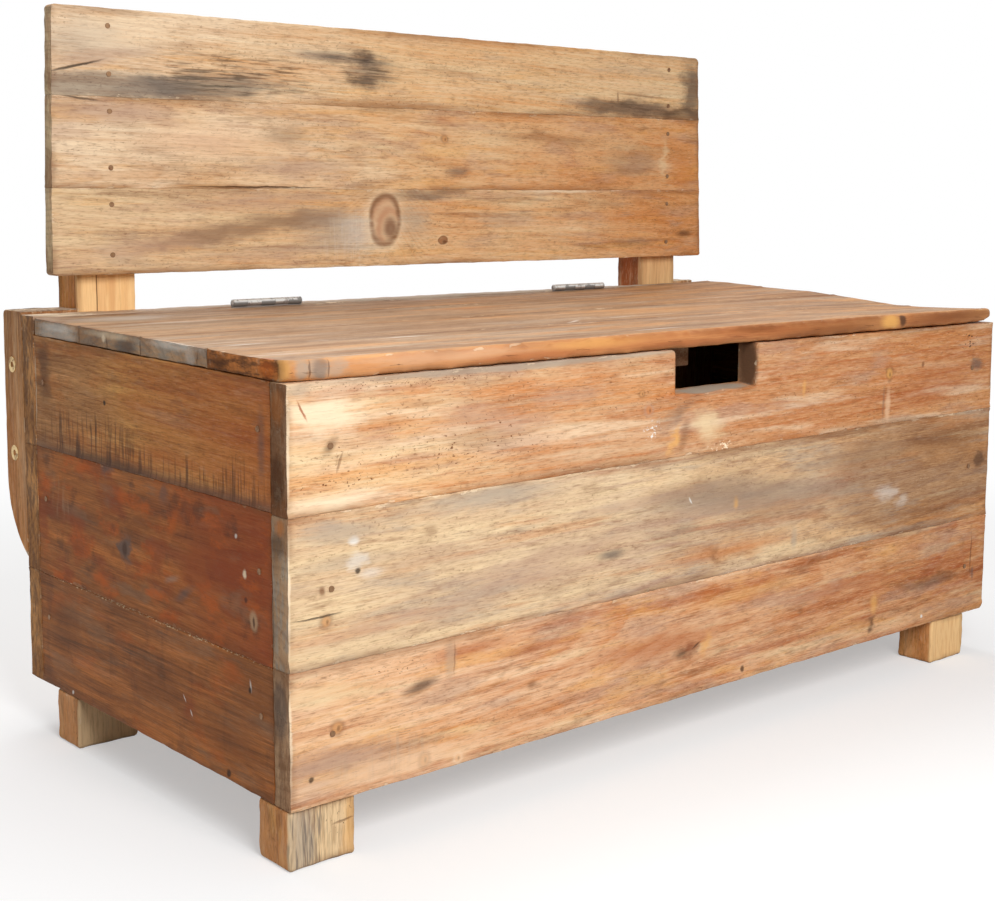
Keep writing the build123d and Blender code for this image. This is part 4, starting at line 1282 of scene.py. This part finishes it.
class BENCH_OT_feet(bpy.types.Operator):
    """Four worn foot blocks"""

    bl_idname = "bench.feet"
    bl_label = "Feet"

    def execute(self, context):
        shape = {"radii": (FOOT_ARRIS,) * 4, "turn": FOOT_END}
        for number, (place, look) in enumerate(FOOT_LOOKS.items()):
            node = f"foot_{place}"
            low, high = node_box(node)
            board(context, node, (Z, X, Y), low[Y], FOOT_SEED + number, look, "foot_wood", **shape)
        return {"FINISHED"}


# Lid

LID_SEED = 700
LID_CORNER = 13.0  # radius of the front corners, seen from above
LID_NOSE, LID_ARRIS = 5.0, 0.5  # radii along the front edge and along the others
LID_UNDER, LID_THICK = 345.8, 15.0
LID_HINGE_SIDE = 167.0
LID_HALF = 430.0  # half the lid's length
LID_BEND = 60.0  # the right end's bend starts this far from the middle
LID_TIP, TIP_SIDE, TIP_REAR, TIP_DEPTH = 8.0, 404.0, -180.0, 40.0  # wear below the right front corner
LID_SPILL = 15.0  # a mark this near a board falls on it too
LID_CURL = (  # how far the right end's top is bent, at places from front to rear
    (-228.0, -190.0, -140.0, -109.0, -40.0, 10.0, 70.0, 130.0, 164.0),
    (-1.8, -3.9, -5.9, -6.0, -1.3, 1.7, 2.2, 4.5, 4.1),
)
BATTEN_REACH = 322.0  # the outer battens' outer sides, from the middle
BEYOND_REACH = 50.0  # beyond them the underside comes to follow the top over this length
LID_NAMES = ("front", "second", "third", "back")
LID_CORNERS = {
    "front": ((0.0, 0.0), (-0.4, 0.0), (0.0, 0.0), (0.0, 0.0)),
    "second": ((0.2, 0.0), (0.0, 0.0), (0.0, 0.0), (0.0, 0.0)),
    "third": ((0.4, 0.0), (0.3, 0.0), (0.0, 0.0), (0.0, 0.0)),
    "back": ((0.8, 0.0), (0.2, 0.0), (0.0, 0.0), (0.0, 0.0)),
}


def lid_lift(x, y, z):
    """How far the lid's boards are bent. Their top rises evenly to the rear with the side walls, and at the
    right end it dips near the front and curls up behind, growing with the square of the distance. The
    underside follows upwards beyond the battens only, and is worn away at the right front corner."""
    right = np.clip((x - LID_BEND) / (LID_HALF - LID_BEND), 0.0, 1.0) ** 2
    rear = SIDE_RISE * np.clip((y - SIDE_FRONT) / (LID_HINGE_SIDE - SIDE_FRONT), 0.0, 1.0)
    bend = rear + right * np.interp(y, *LID_CURL)
    beyond = np.clip((np.abs(x) - BATTEN_REACH) / BEYOND_REACH, 0.0, 1.0)
    outer = np.clip((x - TIP_SIDE) / (LID_HALF - TIP_SIDE), 0.0, 1.0) ** 2
    corner = LID_TIP * outer * np.clip((TIP_REAR - y) / TIP_DEPTH, 0.0, 1.0)
    upper = np.clip((z - LID_UNDER) / LID_THICK, 0.0, 1.0)
    return upper * bend + (1.0 - upper) * (np.maximum(bend, 0.0) * beyond + corner)


LID_EDGE = -228.0


def nose_stain(along, depth, reach, colour, strength, soft, deep):
    """A stain on the lid's front edge."""
    return Stain((along, LID_EDGE, depth), reach, colour, strength, soft, 0.0, deep)


LID_LOOK = Look(
    Grain((20.0, -50.0), (0.02, 0.05), 5.0, 0.12, 1.1, bleach=0.1, pepper=0.2),
    ((-430, "tan", "taupe"), (-150, "fawn", "drab"), (430, "honey", "drab")),
    (
        Patch("honey", 0.35, 0.5, (240.0, 34.0)), Patch("ash", 0.4, 0.42, (230.0, 22.0)),
        Patch("drab", 0.4, 0.5, (200.0, 30.0)), Patch("umber", 0.25, 0.35, (220.0, 14.0)),
        Patch("chalk", 0.1, 0.3, (150.0, 8.0)),
    ),
    (
        Stain((-375, 115), (75, 50), "ash", 0.6, 0.2), Stain((-365, 130), (70, 30), "chalk", 0.5, 0.3),
        *(Line((0, y), (440, 1.1), "bark", 0.55, 0.0, 0.2) for y in (-124, -25, 81)),
        Stain((-340, 72), (90, 10), "chalk", 0.4, 0.1), Stain((-200, 30), (140, 12), "ash", 0.55, 0.1),
        Stain((-360, -200), (90, 16), "umber", 0.45, 0.1),
        Stain((-210, -208), (180, 12), "umber", 0.45, 0.1), Stain((10, -196), (170, 14), "umber", 0.35, 0.1),
        Stain((120, -60), (160, 30), "honey", 0.35, 0.2), Stain((-391, -113), (26, 3), "chalk", 0.6),
        Stain((-256, -135), (30, 3.5), "chalk", 0.65, 0.1, -0.1), Stain((-240, 47), (90, 7), "ash", 0.6),
        Stain((-52, -109), (22, 3), "chalk", 0.55, 0.1, 0.5), Stain((-37, -198), (45, 3), "chalk", 0.6),
        Stain((213, 50), (50, 8), "ash", 0.45), Stain((-335, -18), (80, 11), "honey", 0.4),
        Stain((-45, 48), (70, 12), "amber", 0.35), Stain((-340, -152), (70, 14), "umber", 0.35),
        nose_stain(-290, -4, (120, 6), "peach", 0.55, 0.1, 8.0),
        nose_stain(-100, -7, (110, 6), "amber", 0.4, 0.1, 11.0),
        nose_stain(120, -8, (130, 6), "rust", 0.5, 0.1, 11.0),
        nose_stain(330, -8, (110, 6), "rust", 0.55, 0.1, 11.0),
        nose_stain(170, -2, (120, 5), "cherry", 0.4, 0.1, 4.0),
        nose_stain(0, -9, (560, 7), "rust", 0.3, 0.8, 12.0),
        nose_stain(250, -9, (260, 7), "umber", 0.25, 0.5, 12.0),
        nose_stain(-30, -11, (100, 5), "cherry", 0.5, 0.2, 6.0),
        nose_stain(40, -4, (90, 6), "cherry", 0.5, 0.2, 7.0),
        nose_stain(60, -3, (50, 5), "umber", 0.5, 0.2, 6.0),
        nose_stain(170, -10, (80, 5), "umber", 0.45, 0.2, 7.0),
        nose_stain(-200, -11, (90, 4), "rust", 0.5, 0.2, 6.0),
        nose_stain(380, -6, (70, 6), "umber", 0.45, 0.2, 9.0),
        nose_stain(-140, -4, (70, 5), "gold", 0.4, 0.2, 6.0),
        Saw((0, LID_EDGE), (520, 12), "rust", 2.0, 0.3, True),
        Stain((-428, LID_EDGE + 8, -7), (7, 9), "gold", 0.7, 0.4, 0.0, 14.0),
        nose_stain(-417, -7, (7, 10), "ash", 0.7, 0.4, 13.0),
        nose_stain(-404, -7, (14, 10), "ash", 0.7, 0.4, 13.0),
        nose_stain(-402, -7, (9, 8), "slate", 0.45, 0.4, 12.0),
        nose_stain(-386, -7, (14, 9), "ash", 0.55, 0.2, 12.0),
        Line((-411, LID_EDGE, -7), (8, 1.2), "bark", 0.6, UPRIGHT, 0.3, 10.0),
        Line((-395, LID_EDGE, -7), (8, 1.0), "bark", 0.5, UPRIGHT, 0.3, 10.0),
        end_stain(-204, -7, (8, 13), "ember", 0.75, 0.3, 13.0),
        nose_stain(252, -7, (20, 6), "gold", 0.85, 0.3, 11.0),
        nose_stain(272, -6, (7, 5), "bark", 0.85, 0.4, 10.0),
        nose_stain(335, -7, (70, 6), "umber", 0.4, 0.1, 11.0),
    ),
    ("ash", "tan"),
    end_marks=(
        end_stain(122, -8, (8, 42), "chalk", 0.35, 0.6), end_stain(3, -8, (8, 26), "slate", 0.6, 0.4),
        end_stain(-100, -8, (8, 10), "chalk", 0.3, 0.4), end_stain(-142, -8, (8, 16), "bark", 0.6, 0.4),
        end_stain(-205, -8, (8, 14), "ember", 0.4, 0.4),
        end_stain(122, -1, (6, 46), "chalk", 0.55, 0.3, 5.0),
        end_stain(28, -1, (6, 56), "cream", 0.5, 0.2, 4.0),
        end_stain(-75, -1, (6, 52), "chalk", 0.5, 0.2, 5.0),
        end_stain(37, -4, (6, 4), "cream", 0.8, 0.4, 4.0),
        *(Line((LEFT_END, y, -8), (6, 1.2), "bark", 0.8, 0.0, 0.2, 7.5) for y in (81, 31, -24.5)),
        Line((LEFT_END, -110, -8), (6, 0.8), "bark", 0.6, 0.0, 0.2, 7.5),
    ),
)
LID_NOSE_TONE = ("honey", -227.0, -217.0, 1.0)


class BENCH_OT_lid_boards(bpy.types.Operator):
    """Four worn boards of the lid, cut from one wide pattern, the front one with a rounded edge"""

    bl_idname = "bench.lid_boards"
    bl_label = "Lid boards"

    def execute(self, context):
        for number, name in enumerate(LID_NAMES):
            node = f"lid_board_{name}"
            low, high = node_box(node)
            first, last = low[Y] - LID_SPILL, high[Y] + LID_SPILL
            marks, end_marks = (
                tuple(mark for mark in group if first < mark.place[1] < last)
                for group in (LID_LOOK.marks, LID_LOOK.end_marks)
            )
            look = LID_LOOK._replace(marks=marks, end_marks=end_marks)
            shape = {
                "in_row": True,
                "corners": LID_CORNERS[name],
                "lift": lid_lift,
                "radii": (LID_ARRIS,) * 4,
                "sink": (0, 1),
                "body": "lid",
                "pattern": (LID_SEED, (0.0, 0.0)),
            }
            if name == "front":
                look = look._replace(edge=LID_NOSE_TONE, ends=("amber", "umber"))
                shape["radii"] = (LID_ARRIS, LID_NOSE, LID_NOSE, LID_ARRIS)
                shape["shape"] = rounded(lower=(LID_CORNER, LID_CORNER))
            board(context, node, (X, Y, Z), high[Z], LID_SEED + number, look, "lid_wood", **shape)
        return {"FINISHED"}


# Unseen woodwork that stays as the CAD made it

INNER_NAMES = ("corner_batten", "floor_b", "lid_batten")
INNER_SEED = 800


class BENCH_OT_inner_wood(bpy.types.Operator):
    """Battens, bearers and floor boards inside the box and under the lid"""

    bl_idname = "bench.inner_wood"
    bl_label = "Inner woodwork"

    def execute(self, context):
        inner = [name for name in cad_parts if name.startswith(INNER_NAMES)]
        for number, node in enumerate(sorted(inner)):
            low, high = node_box(node)
            axes = tuple(int(axis) for axis in np.argsort(low - high))
            pale, dark = ("drab", "umber") if node.startswith("lid_batten") else ("straw", "amber")
            look = Look(
                Grain((25.0, 30.0), (0.02, 0.03), 5.0, 0.4, 1.0),
                ((low[axes[0]], pale, dark), (high[axes[0]], pale, dark)),
                (Patch("tan", 0.3, 0.4), Patch("umber", 0.2, 0.25, (90.0, 12.0))),
                chips=None,
            )
            middle = (low + high)[list(axes[:2])] / 2.0
            finish = wood(context, node, axes, low[axes[2]], INNER_SEED + number, middle, look)
            dress(node, finish)
        return {"FINISHED"}


# Metal


def metal(context, name, colour, dark_colour, roughness, lump, shade=None):
    """Metal with a cloudy tarnish and fine scratches. shade gives two heights in mm: it is bright above the
    upper one and wholly tarnished below the lower one."""
    colours = context.scene.bench_colours
    material = bpy.data.materials.new(name)
    nodes = Nodes(material)
    place = nodes.add("ShaderNodeTexCoord", out="Object")
    cloud = nodes.noise(place, (lump * MM,) * 3, 3.0, 0.6)
    scratch = nodes.noise(place, (6.0 * MM, 0.5 * MM, 0.5 * MM), 3.0, 0.6)
    tarnish_and_shade = cloud.between(0.45, 0.7)
    if shade:
        # Painted shade: below the given heights the metal turns to the dark colour, on the knuckles' lower
        # half and the leaves under them.
        height = nodes.add("ShaderNodeSeparateXYZ", {}, {0: place}, out="Z")
        tarnish_and_shade = (tarnish_and_shade + 1.0 - height.between(shade[0] * MM, shade[1] * MM)).limited()
    skin = nodes.mix(tuple(getattr(colours, colour)), tuple(getattr(colours, dark_colour)), tarnish_and_shade * 0.7)
    rough = roughness + tarnish_and_shade * 0.25 + (scratch - 0.5) * 0.15
    relief = scratch * 0.05 + cloud * 0.1
    normal = nodes.add("ShaderNodeBump", {}, {"Height": relief, "Strength": 1.0, "Distance": MM})
    surface = nodes.add(
        "ShaderNodeBsdfPrincipled",
        {},
        {"Base Color": skin, "Roughness": rough, "Metallic": 1.0 - tarnish_and_shade * 0.5, "Normal": normal},
    )
    nodes.add("ShaderNodeOutputMaterial", {}, {"Surface": surface})
    return material


HINGE_SHADE = (366.5, 370.5)  # heights between which a painted shade on the leaves and the knuckles' lower half fades out to bright steel, in mm
# a deeper, higher painted shade in soot, on the alternate knuckles of two leaves, in mm
HINGE_DEEP_SHADE = (369.8, 371.4)
DEEP_SHADED_LEAVES = ("hinge_left_wall_leaf", "hinge_right_lid_leaf")


class BENCH_OT_hinges(bpy.types.Operator):
    """Steel of the two butt hinges and their screws"""

    bl_idname = "bench.hinges"
    bl_label = "Hinges"

    def execute(self, context):
        steel = metal(context, "hinge_steel_worn", "steel", "bark", 0.3, 5.0, HINGE_SHADE)
        deep_shade_steel = metal(context, "hinge_steel_soiled", "steel", "soot", 0.3, 5.0, HINGE_DEEP_SHADE)
        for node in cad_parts:
            if node in DEEP_SHADED_LEAVES:
                dress(node, deep_shade_steel)
            elif node.startswith("hinge_") or node.endswith("leaf_screws"):
                dress(node, steel)
        return {"FINISHED"}


class BENCH_OT_fasteners(bpy.types.Operator):
    """Nails, screws, connector bolts and barrel nuts"""

    bl_idname = "bench.fasteners"
    bl_label = "Nails, screws and bolts"

    def execute(self, context):
        iron = metal(context, "nail_iron_worn", "iron", "umber", 0.5, 3.0)
        brass = metal(context, "bolt_brass_worn", "brass", "umber", 0.32, 4.0)
        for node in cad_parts:
            if node.endswith("_nails") or node in ("foot_screws", "cheek_screws"):
                dress(node, iron)
            elif node in ("connector_bolts", "barrel_nuts"):
                dress(node, brass)
        return {"FINISHED"}


# Stage

CAMERA_PLACE = (-1010.464, -1121.605, 474.712)
CAMERA_RIGHT = (0.75574518, -0.65484440, 0.00529424)
CAMERA_UP = (0.07152283, 0.09057405, 0.99331809)
CAMERA_BACK = (-0.65094831, -0.75031670, 0.11528723)
CAMERA_SHIFT = (-0.00718, -0.07557)
LAMP_AIM = (-0.05, 0.0, 0.25)
KEY_PLACE = (-0.55, -1.35, 1.05)
KEY_SIDE = 0.7
TOP_PLACE = (0.15, 0.85, 2.0)
TOP_SIDE = 1.5
FLOOR_GLOW = 0.41
FLOOR_NEAR, FLOOR_FAR = 0.68, 1.45  # the floor turns white between these distances, in m
FLOOR_LINES = 9
SENSOR_WIDTH = 36.0
VIEW_END = 100.0
WHITE = (1.0, 1.0, 1.0)


def direct_rays(nodes):
    """1 for rays that come from the camera, straight or by way of a mirror or glass, and 0 for others."""
    path = nodes.add("ShaderNodeLightPath").socket.node.outputs
    kinds = ("Camera", "Glossy", "Transmission")
    camera, glossy, glass = (Wire(nodes, path[f"Is {kind} Ray"]) for kind in kinds)
    return (camera + glossy + glass).limited()


class BENCH_OT_stage(bpy.types.Operator):
    """Pale floor, soft light and the camera"""

    bl_idname = "bench.stage"
    bl_label = "Stage"

    def execute(self, context):
        scene = context.scene
        settings = scene.bench_stage
        self.floor(scene, settings)
        self.lamp(scene, "key", KEY_PLACE, KEY_SIDE, settings.key_power)
        self.lamp(scene, "top", TOP_PLACE, TOP_SIDE, settings.top_power)
        self.sky(scene, settings)
        self.camera(scene, settings)
        scene.view_settings.view_transform = "Standard"
        return {"FINISHED"}

    def floor(self, scene, settings):
        """A flat square grid; far from the bench it fades to plain white."""
        half = settings.floor_width / 2.0
        line = np.linspace(-half, half, FLOOR_LINES)
        grid = np.stack(np.meshgrid(line, line, [0.0], indexing="ij"), axis=-1).reshape(-1, 3)
        index = np.arange(FLOOR_LINES**2).reshape(FLOOR_LINES, FLOOR_LINES)
        corners = (index[:-1, :-1], index[1:, :-1], index[1:, 1:], index[:-1, 1:])
        quads = np.stack(corners, axis=-1).reshape(-1, 4)
        mesh = bpy.data.meshes.new("floor")
        mesh.from_pydata(grid, [], quads.tolist())
        material = bpy.data.materials.new("studio_floor")
        nodes = Nodes(material)
        seen = direct_rays(nodes)
        place = nodes.add("ShaderNodeTexCoord", out="Object")
        far = nodes.length(place).between(FLOOR_NEAR, FLOOR_FAR)
        pale = tuple(scene.bench_colours.floor)
        plain = nodes.add("ShaderNodeBsdfDiffuse", {}, {"Color": pale})
        lit = nodes.add("ShaderNodeEmission", {}, {"Color": WHITE, "Strength": FLOOR_GLOW})
        shaded = nodes.add("ShaderNodeAddShader", {}, {0: plain, 1: lit})
        white = nodes.add("ShaderNodeEmission", {}, {"Color": WHITE, "Strength": 1.0})
        camera_view = nodes.add("ShaderNodeMixShader", {}, {0: far, 1: shaded, 2: white})
        surface = nodes.add("ShaderNodeMixShader", {}, {0: seen, 1: plain, 2: camera_view})
        nodes.add("ShaderNodeOutputMaterial", {}, {"Surface": surface})
        mesh.materials.append(material)
        floor = bpy.data.objects.new("floor", mesh)
        scene.collection.objects.link(floor)

    def lamp(self, scene, name, place, side, power):
        """A square soft lamp at a place, turned to the bench."""
        data = bpy.data.lights.new(name, "AREA")
        data.shape = "SQUARE"
        data.size = side
        data.energy = power
        lamp = bpy.data.objects.new(name, data)
        back = np.array(place) - np.array(LAMP_AIM)
        back /= np.linalg.norm(back)
        right = np.cross((0.0, 0.0, 1.0), back)
        right /= np.linalg.norm(right)
        turn = np.eye(4)
        turn[:3, 0], turn[:3, 1], turn[:3, 2], turn[:3, 3] = right, np.cross(back, right), back, place
        lamp.matrix_world = Matrix(turn)
        lamp.visible_camera = False
        scene.collection.objects.link(lamp)

    def sky(self, scene, settings):
        """Even light all round, which the camera and reflections see as white."""
        world = scene.world or bpy.data.worlds.new("studio")
        scene.world = world
        nodes = Nodes(world)
        seen = direct_rays(nodes)
        even = nodes.add("ShaderNodeBackground", {}, {"Color": WHITE, "Strength": settings.sky})
        white = nodes.add("ShaderNodeBackground", {}, {"Color": WHITE, "Strength": 1.0})
        surface = nodes.add("ShaderNodeMixShader", {}, {0: seen, 1: even, 2: white})
        nodes.add("ShaderNodeOutputWorld", {}, {"Surface": surface})

    def camera(self, scene, settings):
        """The camera as solved from the photo's straight edges, with a shifted lens."""
        data = bpy.data.cameras.new("camera")
        data.sensor_fit = "HORIZONTAL"
        data.sensor_width = SENSOR_WIDTH
        data.lens = settings.lens
        data.shift_x, data.shift_y = CAMERA_SHIFT
        data.clip_end = VIEW_END
        camera = bpy.data.objects.new("camera", data)
        turn = np.eye(4)
        turn[:3, 0], turn[:3, 1], turn[:3, 2] = CAMERA_RIGHT, CAMERA_UP, CAMERA_BACK
        turn[:3, 3] = np.array(CAMERA_PLACE) * MM
        camera.matrix_world = Matrix(turn)
        scene.collection.objects.link(camera)
        scene.camera = camera


STEPS = (
    BENCH_OT_front_boards,
    BENCH_OT_side_boards,
    BENCH_OT_back_boards,
    BENCH_OT_backrest_boards,
    BENCH_OT_rear_blocks,
    BENCH_OT_feet,
    BENCH_OT_lid_boards,
    BENCH_OT_inner_wood,
    BENCH_OT_hinges,
    BENCH_OT_fasteners,
    BENCH_OT_stage,
)


class BENCH_PT_panel(bpy.types.Panel):
    """Sidebar panel with the bench's sizes, colours and pieces"""

    bl_idname = "BENCH_PT_panel"
    bl_label = "Worn storage bench"
    bl_space_type = "VIEW_3D"
    bl_region_type = "UI"
    bl_category = "Bench"

    def draw(self, context):
        for group in (context.scene.bench_sizes, context.scene.bench_colours, context.scene.bench_stage):
            box = self.layout.box()
            for name in group.__annotations__:
                box.prop(group, name)
        for step in STEPS:
            self.layout.operator(step.bl_idname)


CLASSES = (BenchSizes, BenchColours, StageSettings, *STEPS, BENCH_PT_panel)


def register():
    for each in CLASSES:
        bpy.utils.register_class(each)
    bpy.types.Scene.bench_sizes = PointerProperty(type=BenchSizes)
    bpy.types.Scene.bench_colours = PointerProperty(type=BenchColours)
    bpy.types.Scene.bench_stage = PointerProperty(type=StageSettings)


def unregister():
    del bpy.types.Scene.bench_stage
    del bpy.types.Scene.bench_colours
    del bpy.types.Scene.bench_sizes
    for each in reversed(CLASSES):
        bpy.utils.unregister_class(each)


def main():
    register()
    for step in STEPS:
        group, name = step.bl_idname.split(".")
        getattr(getattr(bpy.ops, group), name)()


if __name__ == "__main__":
    main()
